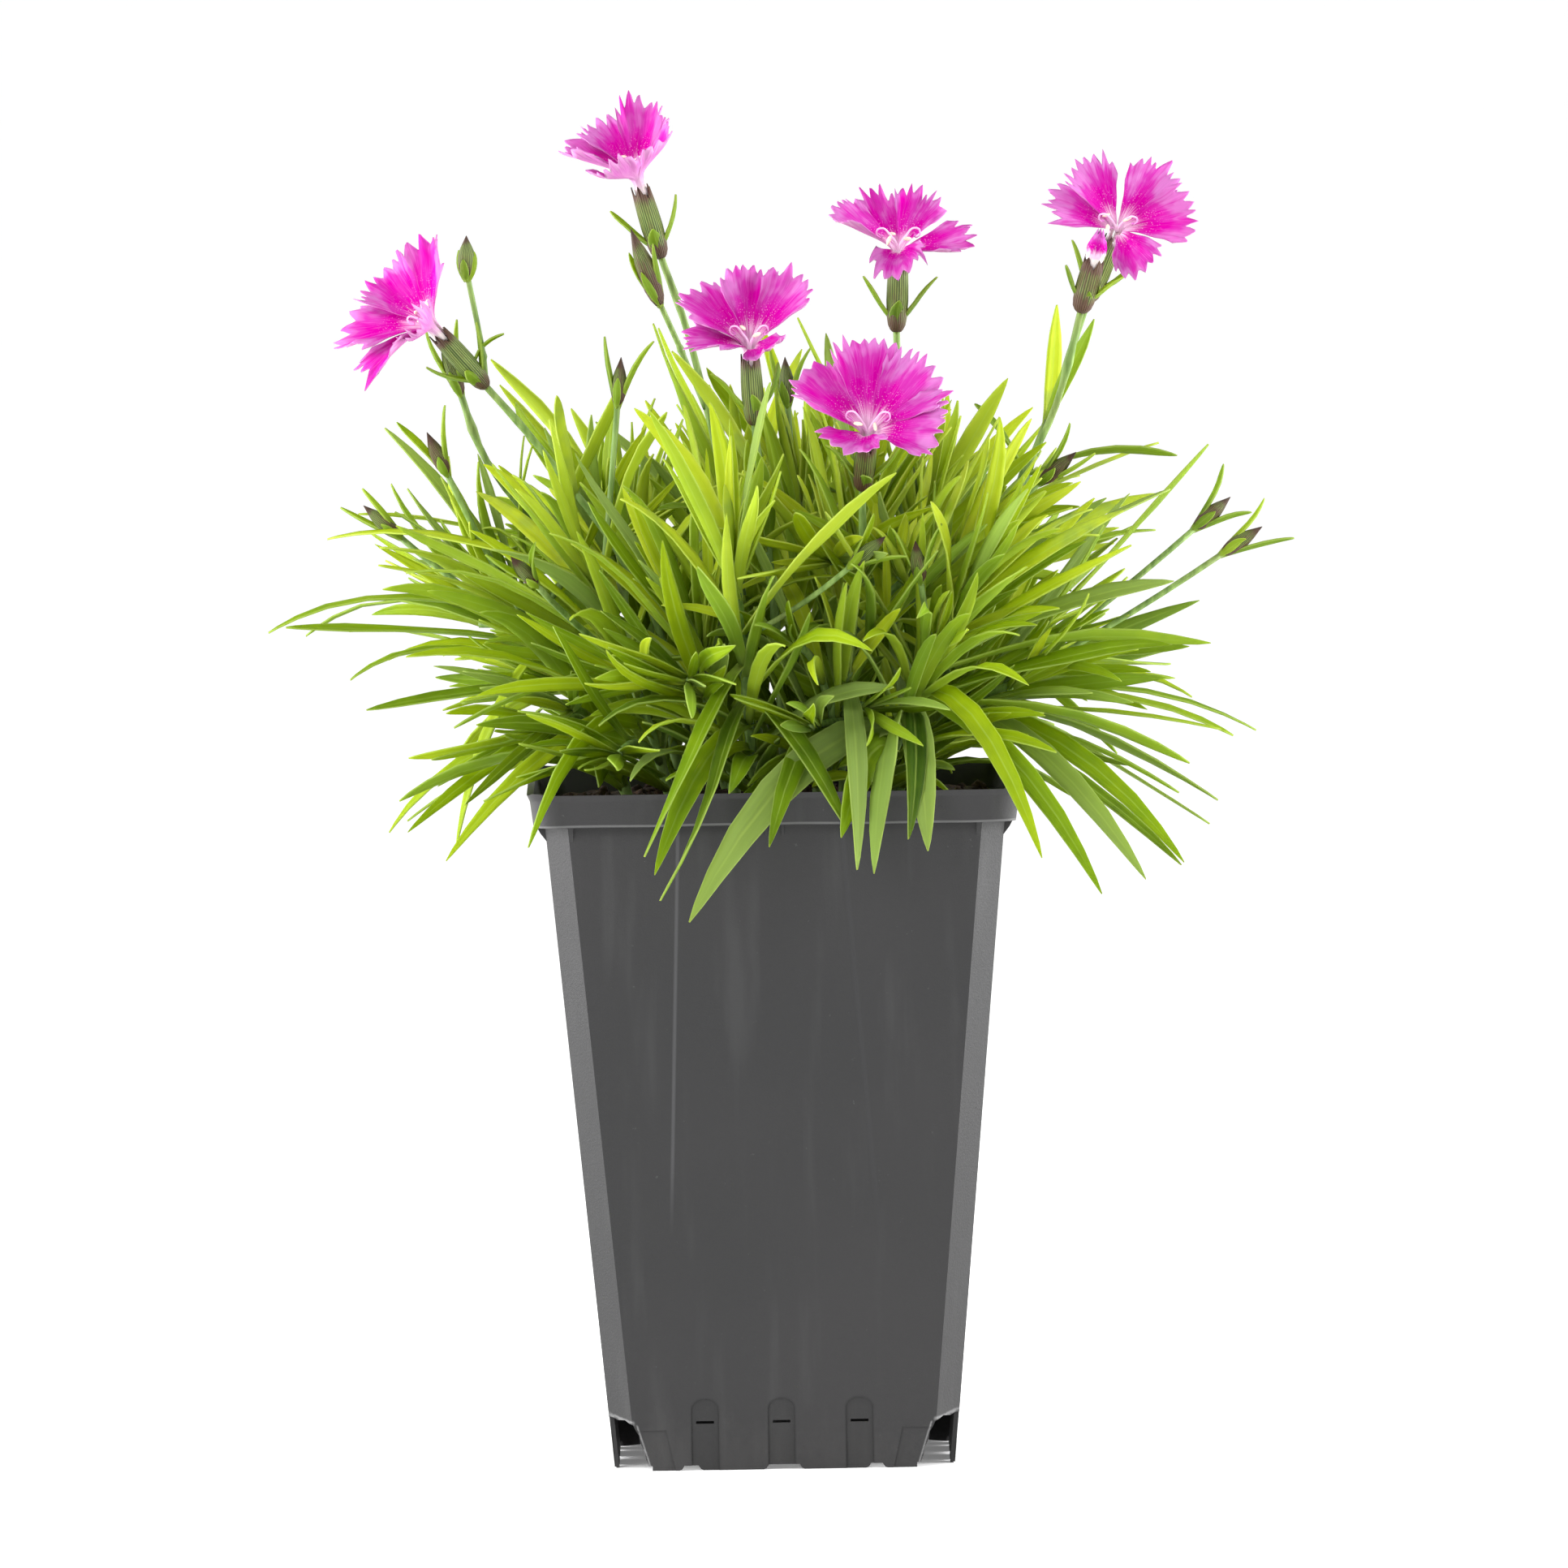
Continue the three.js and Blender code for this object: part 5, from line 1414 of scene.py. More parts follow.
def flower_parts():
    for name, flower in FLOWERS.items():
        plant = plants[f"flower_stem_{name}"]
        base, throat = point(*flower["base"]), point(*flower["throat"])
        axis = unit(throat - base)
        stems = [lay_tube(stem_template, stem_points, plant["curve"], STALK_RADIUS, (0.3, 0.62, 0.86))]
        mouth = base + axis * (np.linalg.norm(throat - base) - 1.0)
        calyxes = [lay_column(calyx_template, calyx_points, base, mouth, CALYX_RADIUS, between(0, 1),
                              flush=CALYX_FLUSH[name])]
        leaves = lay_bracts(base, axis, 1) + [lay_leaf(blade) for blade in plant["blades"]]
        yield name, stems, calyxes, leaves


def lay_side_bud(base, tip, radius, stems, calyxes, leaves, way=None):
    base, tip = point(*base), point(*tip)
    axis = unit(tip - base)
    if way:
        curve = through([point(*p) for p in reversed(way)] + [base + axis * 0.6])
        stems.append(lay_tube(stem_template, stem_points, curve, STALK_RADIUS * 0.8, (0.5,)))
    calyxes.append(lay_column(bud_template, bud_points, base, tip, radius, between(0, 2),
                              flush=between(0.1, 0.6)))
    leaves += wrap_bud(base, axis, np.linalg.norm(tip - base), radius, 0.75 if way else 1.45)


TALL_BUD_RADII = {"left": 1.7, "top": 1.9}
FINE_BUD_RADIUS = 1.5
# A small curved leaf at the joint of the left stem.
JOINT_LEAF = dict(root=point(-54.8, -6.5, 201.5), start=point(0.5, 0, 13), bend=point(5.7, -1, -5.2),
                  up=point(1, 0, 0), width=1.9, twist=0.4)
for name, stems, calyxes, leaves in flower_parts():
    if name in TALL_BUDS:
        bud_at = TALL_BUDS[name]
        lay_side_bud(bud_at["base"], bud_at["tip"], TALL_BUD_RADII[name], stems, calyxes, leaves,
                     bud_at["way"])
    if name == "left":
        leaves.append(lay_leaf(JOINT_LEAF, tint=0.3))
    node = f"flower_stem_{name}"
    finished(join(stems, f"stem_{name}"), "stalk", node)
    finished(join(calyxes, f"calyx_{name}"), "stalk", node)
    finished(join(leaves, f"bracts_{name}"), "leaf", node)

stems = [lay_tube(stem_template, stem_points, plants["bud_stalk"]["curve"], STALK_RADIUS, (0.3, 0.6))]
calyxes, leaves = [], []
lay_side_bud(LONE_STALK["base"], LONE_STALK["tip"], 1.5, stems, calyxes, leaves)
finished(join(stems, "stem_lone"), "stalk", "bud_stalk")
finished(join(calyxes, "bud_lone"), "stalk", "bud_stalk")
finished(join(leaves, "bracts_lone"), "leaf", "bud_stalk")

calyxes, leaves, stems = [], [], []
for base, tip, node in low_buds:
    lay_side_bud(base, tip, FINE_BUD_RADIUS, stems, calyxes, leaves)
low_nodes = sorted({node for *_, node in low_buds})
finished(join(calyxes, "low_buds"), "stalk", *low_nodes)
finished(join(leaves, "low_bud_bracts"), "leaf", *low_nodes)
print("closed buds among the leaves:", len(low_buds))

# %% [markdown]
# ### The opening bud
# Beside the right bloom a bud has just opened: a full calyx, with the rolled petals pushing out of
# it. The roll is a column whose every second point is drawn in, and whose rings are turned
# one after another.

# %% Model the rolled petals and lay the opening bud
ROLL_SIDES = 20
ROLL_PINCH = 0.72
ROLL_TURN = -0.22
ROLL_LIFTS = (0.16, -0.1, 0.08, -0.16, 0.02)
roll_profile = (
    (-0.7, 0.5), (-0.1, 0.62), (0.12, 0.9), (0.32, 1.0), (0.52, 0.96), (0.72, 0.8), (0.88, 0.56), (1.0, 0.24),
)
roll = circle_column([z for z, _ in roll_profile], ROLL_SIDES, name="rolled_petals")
for number, (z, share) in enumerate(roll_profile):
    select_points(roll, lambda co: at_height(co, z) and turn_of(co, ROLL_SIDES) % 2 == 0)
    pinch = ROLL_PINCH if number > 1 else 1.0
    resize((pinch, pinch, 1), (0, 0, z))
for number, (z, share) in enumerate(roll_profile):
    select_points(roll, lambda co: at_height(co, z))
    resize((share, share, 1), (0, 0, z))
    bpy.ops.transform.rotate(value=ROLL_TURN * number, orient_axis="Z", center_override=(0, 0, z))
for number, lift in enumerate(ROLL_LIFTS):
    select_points(roll, lambda co: co.z > 0.999 and turn_of(co, ROLL_SIDES) % len(ROLL_LIFTS) == number)
    move((0, 0, lift))
close_edit()

# %% [markdown]
# ### The petal finish
# A petal is nearly white in the throat, deep magenta in its middle and lilac pink towards the
# fringe. Fine veins fan out from the throat; there they are white streaks with white specks
# between them. The underside is pale lilac. Along runs from the throat to the fringe, across from
# one side to the other.

# %% Petal, style and anther finishes
finish = petal_finish = Finish("petal_pink", Roughness=0.8, Specular_IOR_Level=0.0)
u, v = finish.chart()
upper, age = finish.mark("upper"), finish.mark("age")
here = finish.place()
wander = finish.noise(here, 160, 2)
patch = finish.noise(finish.join(u * 1.5 + age * 9, v * 1.4, age * 30), 2.2, 2)
fan = finish.noise(finish.join(u * 24 + wander * 2.4, v * 1.8, age * 17), 1, 2)
fine = finish.noise(finish.join(u * 80 + wander * 6, v * 4, age * 23), 1, 1)
specks = finish.add("ShaderNodeTexVoronoi", {"feature": "F1"},
                    {"Vector": here, "Scale": 2300.0, "Randomness": 1.0})
side = abs(u - 0.5) * 2
deep = finish.ramp(
    v + (patch - 0.5) * 1.1 + (fan - 0.5) * 0.2 + side ** 3 * 0.14,
    (0.0, colour(200, 0, 158)), (0.4, colour(190, 0, 148)), (0.62, colour(194, 8, 156)),
    (0.82, colour(190, 58, 166)), (1.0, colour(198, 120, 190)))
veined = finish.mix(fine.step(0.5, 0.74) * (v * 0.3 + 0.04), deep, colour(230, 126, 214))
veined = finish.mix((1 - fan.step(0.3, 0.48)) * 0.3, veined, colour(184, 0, 138))
veined = finish.mix(age * 0.2, veined, colour(188, 0, 146))
streak = (1 - (v + (fan - 0.5) * 0.4 + (fine - 0.5) * 0.26).step(0.26, 0.5))
top_side = finish.mix(streak, veined, colour(240, 206, 232))
dots = (1 - specks.step(0.14, 0.3)) * (1 - v.step(0.4, 0.8)) * v.step(0.16, 0.3)
top_side = finish.mix(dots * 0.6, top_side, colour(240, 180, 228))
below = finish.ramp(
    v + (fan - 0.5) * 0.5, (0.05, colour(240, 226, 232)), (0.3, colour(222, 160, 212)),
    (0.8, colour(212, 128, 200)), (1.0, colour(224, 164, 214)))
below = finish.mix(fine.step(0.5, 0.75) * 0.4, below, colour(194, 66, 172))
skin = finish.mix(upper, below, top_side)
claw = 1 - v.step(0.1, 0.2)
skin = finish.mix(claw, skin, colour(246, 240, 236))
finish.feed(Base_Color=skin)
finish.bump(fan * 0.5 + fine * 0.5, 0.00004)
finish.let_light_through(0.2, colour(212, 0, 168))

finish = style_finish = Finish("style_lilac", Roughness=0.5)
u, v = finish.chart()
lilac = finish.ramp(v, (0.0, colour(250, 226, 244)), (0.5, colour(238, 180, 228)),
                    (1.0, colour(206, 96, 190)))
finish.feed(Base_Color=lilac)

finish = anther_finish = Finish("anther_cream", Roughness=0.8)
here = finish.place()
pollen = finish.noise(here, 3500, 1)
finish.feed(Base_Color=finish.mix(pollen, colour(226, 206, 176), colour(250, 240, 220)))
finish.bump(pollen, 0.00008)

# %% Lay the opening bud
roll_template, roll_points = column_template(roll, petal_finish.material)
base, neck, tip = (point(*OPENING_BUD[key]) for key in ("base", "neck", "tip"))
axis = unit(neck - base)
mouth = base + axis * (np.linalg.norm(neck - base) + 0.9)
stem = lay_tube(stem_template, stem_points, plants["opening_bud_stem"]["curve"], STALK_RADIUS,
                (0.3, 0.6, 0.86))
finished(join([stem], "stem_opening_bud"), "stalk", "opening_bud_stem")
calyxes = [lay_column(calyx_template, calyx_points, base, mouth, 2.2, 0.3, flush=0.55)]
finished(join(calyxes, "calyx_opening_bud"), "stalk", "opening_bud_stem")
finished(join(lay_bracts(base, axis, 0.8), "bracts_opening_bud"), "leaf", "opening_bud_stem")
tips = lay_column(roll_template, roll_points, neck, neck + unit(tip - base) * 5.6, 1.95, age=0.3, upper=1.0)
finished(join([tips], "petals_opening_bud"), "petal", "opening_bud_petals")

# %% [markdown]
# ### The petals
# Five fan-shaped petals, each with a narrow white claw in the calyx and a fringe of uneven pointed
# teeth. The petal is modelled once as a flat thin grid. A copy is laid by its way out from
# the throat (along) and its turn from the midline (across); the cup angle, ruffles and its own
# teeth come in there, so no two petals are alike.

# %% Model the petal once
PETAL_CELLS = (48, 14)
PETAL_SHEET = 0.26
PETAL_TILT = math.tan(math.radians(11))
CLAW_DEPTH = 3.4
CLAW_RADIUS = 1.15
petal = add_shape(bpy.ops.mesh.primitive_grid_add, x_subdivisions=PETAL_CELLS[0],
                  y_subdivisions=PETAL_CELLS[1], size=2, name="petal_sheet")
edit(petal)
select_all()
move((0, 1, 0))
resize((1, 0.5, 1))
close_edit()
apply_modifier(petal, "SOLIDIFY", thickness=PETAL_SHEET, offset=0)
put_mark(petal.data, "upper", points_of(petal.data)[:, 2] > 0)
petal_template, petal_points = as_template(petal, petal_finish.material)


def fringe_teeth(x):
    """How far the fringe stands out at each place across: uneven pointed teeth, some of them long."""
    knots, heights = [-1.0], [-1.0]
    place = -1.0
    while place < 0.9:
        gap = between(0.16, 0.34)
        peak = min(0.97, place + gap * between(0.35, 0.7))
        place = min(1.0, place + gap)
        knots += [peak, max(place, peak + 0.02)]
        heights += [between(0.3, 1.2) + 2.0 * draw() ** 2.5, between(-1.5, -0.5)]
    return np.interp(x, knots, heights)


def lay_petal(flower, petal, curl=0.0, ruffle=0.7, roll=0.0, fold=0.0):
    """Lays a petal. Curl, in degrees, bends its outer half up (or down), roll lifts its two sides,
    and fold turns up the side named by its sign."""
    bearing, cup_degrees, half_angle, share_of_reach = petal
    normal, back, right = corolla_frame(flower)
    throat = point(*flower["throat"])
    axis = unit(throat - point(*flower["base"]))
    cup = math.radians(cup_degrees)
    reach = flower["reach"] * share_of_reach
    x, y, sheet = petal_points.T
    phase, turns = between(0, 6.28), between(1.1, 1.9)
    teeth = fringe_teeth(x)
    edge = reach - 0.5 - 2.6 * np.abs(x) ** 2.4
    fringe = np.clip((y - 0.7) / 0.3, 0, 1) ** 1.4
    r = -CLAW_DEPTH + (edge + CLAW_DEPTH) * y + teeth * fringe
    way_out = np.linspace(0, 24, 241)
    bend = np.interp(way_out, (0, 1.6, 3.4, 9.2, reach),
                     (min(cup + 0.5, 1.35), min(cup + 0.2, 1.3), cup + 0.04,
                      cup - 0.03 + math.radians(curl) * 0.3, cup - 0.12 + math.radians(curl)))
    step = way_out[1] - way_out[0]
    out_sum = np.concatenate(([0], np.cumsum(np.cos(bend)[:-1]) * step))
    up_sum = np.concatenate(([0], np.cumsum(np.sin(bend)[:-1]) * step))
    beyond = np.clip(r, 0, None)
    q = np.hypot(np.interp(beyond, way_out, out_sum), CLAW_RADIUS)
    h = np.interp(beyond, way_out, up_sum)
    # The fan opens quickly past the claw; its sides sway a little.
    share = np.interp(r, (0, 0.9, 3.5, 8, reach), (0.95, 1.1, 0.92, 1.0, 1.0))
    sway = 0.05 * np.sin(y * 9 + phase) * np.clip(y - 0.4, 0, 1)
    psi = math.radians(half_angle) * share * (x + sway * (1 - x * x) + 0.03 * np.sin(y * 17 + phase) * x)
    wrap = min(1.5, 1 / math.cos(cup))
    azimuth = math.radians(bearing) + psi * wrap
    out = np.outer(np.cos(azimuth), right) + np.outer(np.sin(azimuth), back)
    face = normal * math.cos(cup) - out * math.sin(cup)
    grown = np.clip(y - 0.3, 0, 1) / 0.7
    rise = sheet + beyond * np.sin(psi) * PETAL_TILT
    rise += ruffle * grown ** 2 * np.sin(turns * math.pi * x + phase)
    rise += 0.3 * ruffle * grown ** 3 * np.sin(4.3 * math.pi * x + phase * 2 + 2 * y)
    rise += 0.3 * fringe * np.sin(9 * x + phase * 3) * np.abs(teeth)
    rise -= 0.3 * np.exp(-(x / 0.16) ** 2) * y * (1 - y) * 2
    rise += roll * grown * np.abs(x) ** 2
    rise += abs(fold) * grown * np.clip(x * np.sign(fold) - 0.25, 0, 1) ** 1.5
    placed = throat + out * q[:, None] + normal * h[:, None] + face * rise[:, None]
    placed += np.outer(np.clip(r, None, 0), axis)
    return lay_copy(petal_template, placed, age=draw())


# %% Lay the corollas
# For each petal: how much its outer half curls, how much both its sides rise, and which side folds up.
PETAL_HABITS = {
    "left": ((14, 0.8, -2.0), (6, 0.0, 1.2), (0, 0.4, -1.0), (-14, 0.5, 1.5), (64, 0.8, 1.5)),
    "top": ((10, 0.6, 0.0), (0, 0.2, 1.0), (16, 0.6, 0.0), (46, 0.8, 0.0), (26, 0.6, 0.0)),
    "middle": ((8, 0.8, -3.2), (4, 0.3, 0.0), (-2, 0.3, 1.2), (-4, 0.3, 0.0), (48, 0.8, 1.0)),
    "rear": ((16, 1.0, 2.4), (6, 0.4, 0.0), (8, 0.3, 0.0), (8, 0.8, 1.6), (-36, 2.2, 0.0)),
    "front": ((8, 0.4, 1.2), (8, 0.6, 0.0), (4, 0.3, 1.0), (4, 0.2, 0.0), (-4, 0.6, 1.6)),
    "right": ((4, 0.7, 1.4), (-2, 0.4, 0.0), (2, 0.4, 0.0), (4, 0.4, -1.0), (-10, 0.2, 0.0)),
}
for name, flower in FLOWERS.items():
    petals = [lay_petal(flower, petal, curl, between(0.6, 1.0), roll, fold)
              for petal, (curl, roll, fold) in zip(flower["petals"], PETAL_HABITS[name])]
    finished(join(petals, f"petals_{name}"), "petal", f"corolla_{name}")

# %% [markdown]
# ### Styles and anthers
# Two thin styles rise from the throat and curl at their ends like the horns of a ram. Around them
# stand a few stamens: a thread each, with a cream anther lying across it.

# %% Lay the styles and anthers
anther = add_shape(bpy.ops.mesh.primitive_uv_sphere_add, segments=10, ring_count=8, radius=1, name="anther")
edit(anther)
select_points(anther, lambda co: abs(co.x) < 0.2 and co.y > 0)
resize((1, 0.45, 1))
select_all()
resize((0.42, 0.36, 1.0))
close_edit()
anther_template, anther_points = as_template(anther, anther_finish.material)

STYLE_RINGS = 28
style_stretch = circle_column(list(np.linspace(0, 1, STYLE_RINGS + 1)), 8, name="style_stretch")
close_edit()
style_template, style_points = column_template(style_stretch, style_finish.material)


def lay_style(flower, side, height, spread):
    normal, back, right = corolla_frame(flower)
    foot = point(*flower["throat"]) - normal * 0.6
    at = lambda up, over, behind: foot + normal * up + right * over * side + back * behind
    way = [at(0, 0.12, 0), at(2.4, 0.3, 0), at(height * 0.72, 0.42 * spread, 0.4),
           at(height, 0.8 * spread, 0.5), at(height * 0.98, 1.12 * spread, 0.4),
           at(height * 0.8, 1.18 * spread, 0.1),
           at(height * 0.72, 0.98 * spread, -0.2), at(height * 0.82, 0.86 * spread, -0.4),
           at(height * 0.89, 0.98 * spread, -0.5)]
    return lay_tube(style_template, style_points, through(way), lambda t: 0.23 - 0.11 * t)


THREAD_RADIUS = 0.09
ANTHER_SIZE = 0.95


def lay_stamens(flower, count):
    """Threads with anthers, at the throat of a flower."""
    normal, back, right = corolla_frame(flower)
    foot = point(*flower["throat"])
    threads, anthers = [], []
    for number in range(count):
        angle = math.tau * (number + between(-0.3, 0.3)) / count
        out = right * math.cos(angle) + back * math.sin(angle)
        lean = between(1.2, 2.6)
        top = foot + normal * between(3.0, 4.8) + out * lean
        curve = arc(foot + out * 0.3, foot + out * 0.5 + normal * 2.2, top)
        threads.append(lay_tube(style_template, style_points, curve, THREAD_RADIUS))
        sideways = np.cross(out, normal) * between(-1, 1)
        across = unit(sideways + out * between(0.2, 1) + normal * between(-0.5, 0.5))
        placed = upright_to(top, across, anther_points * ANTHER_SIZE, between(0, 6))
        anthers.append(lay_copy(anther_template, placed))
    return threads, anthers


# For each flower: how high its styles stand and how far they spread.
STYLE_HABITS = {
    "left": (5.4, 2.0), "top": (4.6, 1.6), "middle": (5.6, 3.0),
    "rear": (5.8, 3.4), "front": (6.4, 3.4), "right": (5.8, 3.0),
}
STAMENS = {"left": 3, "top": 6, "middle": 2, "rear": 3, "front": 2, "right": 3}
for name, flower in FLOWERS.items():
    height, spread = STYLE_HABITS[name]
    threads, anthers = lay_stamens(flower, STAMENS[name])
    styles = [lay_style(flower, side, height, spread) for side in (-1, 1)] + threads
    finished(join(styles, f"style_pair_{name}"), "style", f"styles_{name}")
    finished(join(anthers, f"anthers_{name}"), "style", f"styles_{name}")

# %% [markdown]
# ### The pot
# A nursery pot is moulded from thin plastic in one shot: tapered walls with cut corners, a rim
# band that steps out and ends in a small lip, a floor that stands a finger's width above the
# table, and a skirt with feet, channels and drain slots. It could be one bent sheet with
# Solidify, but the steps and cuts come out cleaner from blocks: each block is a cube whose top and
# bottom are resized and whose upright edges are bevelled, and the blocks are joined and cut with
# Booleans. The work is done in millimetres and shrunk to metres at the end.

# %% Blocks, plates and cuts
RIM_STEP_HALF = 44.4
RIM_BAND = 5.7
RIM_ROUND = 5.3
BODY_TOP_HALF = 42.3
BODY_FOOT_HALF = 31.45
BODY_CHAMFER = 4.2
FLOOR_UNDER = 10.2
FLOOR_TOP = 11.2
STEP_HEIGHT = POT_HEIGHT - RIM_BAND
FOOT_HEIGHT = 0.9
CHANNEL_TOP = 13.4
CHANNEL_DEPTH = 0.4
SLOT_HEIGHT = 8.9
CENTRE_FOOT_RADIUS = 6
DRAIN_RADIUS = 4
DRAIN_REACH = 16


def body_half(z):
    return BODY_FOOT_HALF + (BODY_TOP_HALF - BODY_FOOT_HALF) * z / STEP_HEIGHT


def block(low, high, low_half, high_half, corner=0.0, segments=1):
    """A tapered square block with cut or rounded upright edges. Its corners keep their size."""
    piece = add_shape(bpy.ops.mesh.primitive_cube_add, size=2)
    middle = (low + high) / 2
    edit(piece)
    select_all()
    resize((high_half, high_half, (high - low) / 2))
    move((0, 0, middle))
    if corner:
        select_points(piece, lambda a, b: abs(a.z - b.z) > 0.5 * (high - low), "EDGE")
        bpy.ops.mesh.bevel(offset=corner, offset_type="OFFSET", segments=segments, affect="EDGES")
    for axis in (0, 1):
        for side in (-1, 1):
            # The foot is drawn in from each of the four sides.
            select_points(piece, lambda co: co.z < middle and co[axis] * side > 0)
            shift = [0, 0, 0]
            shift[axis] = side * (low_half - high_half)
            move(shift)
    close_edit()
    return piece


def plate(outline, near, far):
    """A plate drawn in the front view, from points (x, z), and extruded from near to far along Y."""
    piece = add_shape(bpy.ops.mesh.primitive_circle_add, vertices=len(outline), radius=1, fill_type="NGON")
    for vertex, (x, z) in zip(piece.data.vertices, outline):
        vertex.co = (x, near, z)
    edit(piece)
    select_all()
    extrude((0, far - near, 0))
    close_edit()
    face_outwards(piece)
    return piece


def box(x0, x1, y0, y1, z0, z1):
    return plate(((x0, z0), (x1, z0), (x1, z1), (x0, z1)), y0, y1)


def turned(piece, quarter):
    """Turns a piece about the pot's middle by so many right angles."""
    piece.rotation_euler = (0, 0, quarter * math.pi / 2)
    deselect()
    piece.select_set(True)
    bpy.context.view_layer.objects.active = piece
    bpy.ops.object.transform_apply(location=False, rotation=True, scale=False)
    return piece


def combine(piece, other, operation="DIFFERENCE"):
    apply_modifier(piece, "BOOLEAN", operation=operation, object=other, solver="EXACT")
    bpy.data.objects.remove(other)


def shrink(piece):
    """From millimetres to metres."""
    edit(piece)
    select_all()
    resize((MM, MM, MM))
    close_edit()


# %% Walls, rim and floor
pot = block(0, STEP_HEIGHT + 0.2, BODY_FOOT_HALF, body_half(STEP_HEIGHT + 0.2), BODY_CHAMFER)
pot.name = pot.data.name = "nursery_pot"
rim = block(STEP_HEIGHT, POT_HEIGHT - 0.9, RIM_STEP_HALF, RIM_HALF, RIM_ROUND, 8)
edit(rim)
select_points(rim, lambda middle, normal: normal.z > 0.9, "FACE")
extrude((0, 0, 0.5))
resize((1.005, 1.005, 1), (0, 0, POT_HEIGHT))
extrude((0, 0, 0.6))
resize((1.008, 1.008, 1), (0, 0, POT_HEIGHT))
close_edit()
combine(pot, rim, "UNION")
inner_step = STEP_HEIGHT + WALL
combine(pot, block(FLOOR_TOP, inner_step, body_half(FLOOR_TOP) - WALL, body_half(inner_step) - WALL,
                   BODY_CHAMFER))
combine(pot, block(inner_step - 0.01, POT_HEIGHT + 3, RIM_STEP_HALF - WALL, RIM_HALF - WALL + 0.7,
                   RIM_ROUND - 0.4, 8))
underside = block(-1, FLOOR_UNDER, body_half(-1) - WALL, body_half(FLOOR_UNDER) - WALL, BODY_CHAMFER)
foot_height = FLOOR_UNDER + 4
centre_foot = add_shape(bpy.ops.mesh.primitive_cylinder_add, vertices=40, radius=CENTRE_FOOT_RADIUS,
                        depth=foot_height, location=(0, 0, foot_height / 2))
edit(centre_foot)
select_points(centre_foot, lambda middle, normal: normal.z < -0.9, "FACE")
bpy.ops.mesh.inset(thickness=1.6)
move((0, 0, 0.8))
close_edit()
apply_place()
combine(underside, centre_foot)
combine(pot, underside)
for quarter in range(4):
    turn = (quarter + 0.5) * math.pi / 2
    place = (DRAIN_REACH * math.cos(turn), DRAIN_REACH * math.sin(turn), FLOOR_TOP)
    drain = add_shape(bpy.ops.mesh.primitive_cylinder_add, vertices=32, radius=DRAIN_RADIUS, depth=6,
                      location=place)
    edit(drain)
    select_points(drain, lambda co: co.z > 0)
    resize((1.12, 1.12, 1), drain.location)
    close_edit()
    apply_place()
    combine(pot, drain)
print("pot after its main cuts:", len(pot.data.polygons), "faces")

# %% [markdown]
# The foot of each wall has notches between its feet, three shallow channels with a round head, a
# fine drain slot in each, and a sunk panel at either side. At the two front corners the skirt is
# torn out, as happens when a tray of pots is pulled apart, and the tear has an uneven edge.

# %% Feet, channels, slots and torn corners
NOTCHES = ((-17.2, 3.0), (-0.1, 6.1), (17.0, 2.5))
CHANNELS = ((-14.6, 5.1), (-0.5, 5.0), (13.9, 5.1))
FLAP_HALF = 24.4
PANEL = ((-28.4, 7.5), (-21.8, 7.6), (-19.4, -3), (-28.4, -3))
lean = math.atan((BODY_TOP_HALF - BODY_FOOT_HALF) / STEP_HEIGHT)
outer = -BODY_FOOT_HALF - 3


def lean_back(cutter):
    """Leans a cutter back with the front wall; with no window a turn runs the other way."""
    edit(cutter)
    select_all()
    bpy.ops.transform.rotate(value=-lean, orient_axis="X", center_override=(0, 0, 0))
    move((0, -body_half(0), 0))
    close_edit()
    return cutter


for quarter in range(4):
    for middle, width in NOTCHES:
        half = width / 2
        rounded = ((half + 0.7, -1), (half + 0.7, 0.02), (half + 0.25, 0.22), (half, 0.55),
                   (half - 0.2, FOOT_HEIGHT))
        notch = plate([(middle + across, z) for across, z in rounded]
                      + [(middle - across, z) for across, z in reversed(rounded)], outer, outer + 5)
        combine(pot, turned(notch, quarter))
    for side in (-1, 1):
        ends = sorted((side * FLAP_HALF, side * (BODY_FOOT_HALF - BODY_CHAMFER - 0.4)))
        combine(pot, turned(box(*ends, outer, outer + 5, -1, FOOT_HEIGHT), quarter))
    for middle, width in CHANNELS:
        half = width / 2
        arch = [(middle - half, -2), (middle + half, -2)]
        arch += [(middle + half * math.cos(a), CHANNEL_TOP - half * 0.8 + half * 0.8 * math.sin(a))
                 for a in np.linspace(0, math.pi, 11)]
        combine(pot, turned(lean_back(plate(arch, -4, CHANNEL_DEPTH)), quarter))
        reach = half * 0.65
        slot = box(middle - reach, middle + reach, outer, outer + 6, SLOT_HEIGHT - 0.25, SLOT_HEIGHT + 0.25)
        combine(pot, turned(slot, quarter))
    for side in (-1, 1):
        # A panel beside each outer foot lies a hair deeper than the wall.
        panel = [(-side * x, z) for x, z in (PANEL if side < 0 else reversed(PANEL))]
        combine(pot, turned(lean_back(plate(panel, -4, 0.3)), quarter))
TEAR = ((24.6, -1), (24.9, 0.6), (25.6, 2.2), (25.8, 3.6), (26.6, 5.2), (26.8, 6.6), (27.3, 7.4), (27.9, 8.6),
        (28.6, 8.9), (29.4, 9.5), (30.6, 9.4), (31.6, 9.9), (36, 10.0), (36, -1))
for side in (-1, 1):
    tear = plate([(side * x, z) for x, z in (TEAR if side > 0 else reversed(TEAR))], -40, -22.5)
    combine(pot, tear)

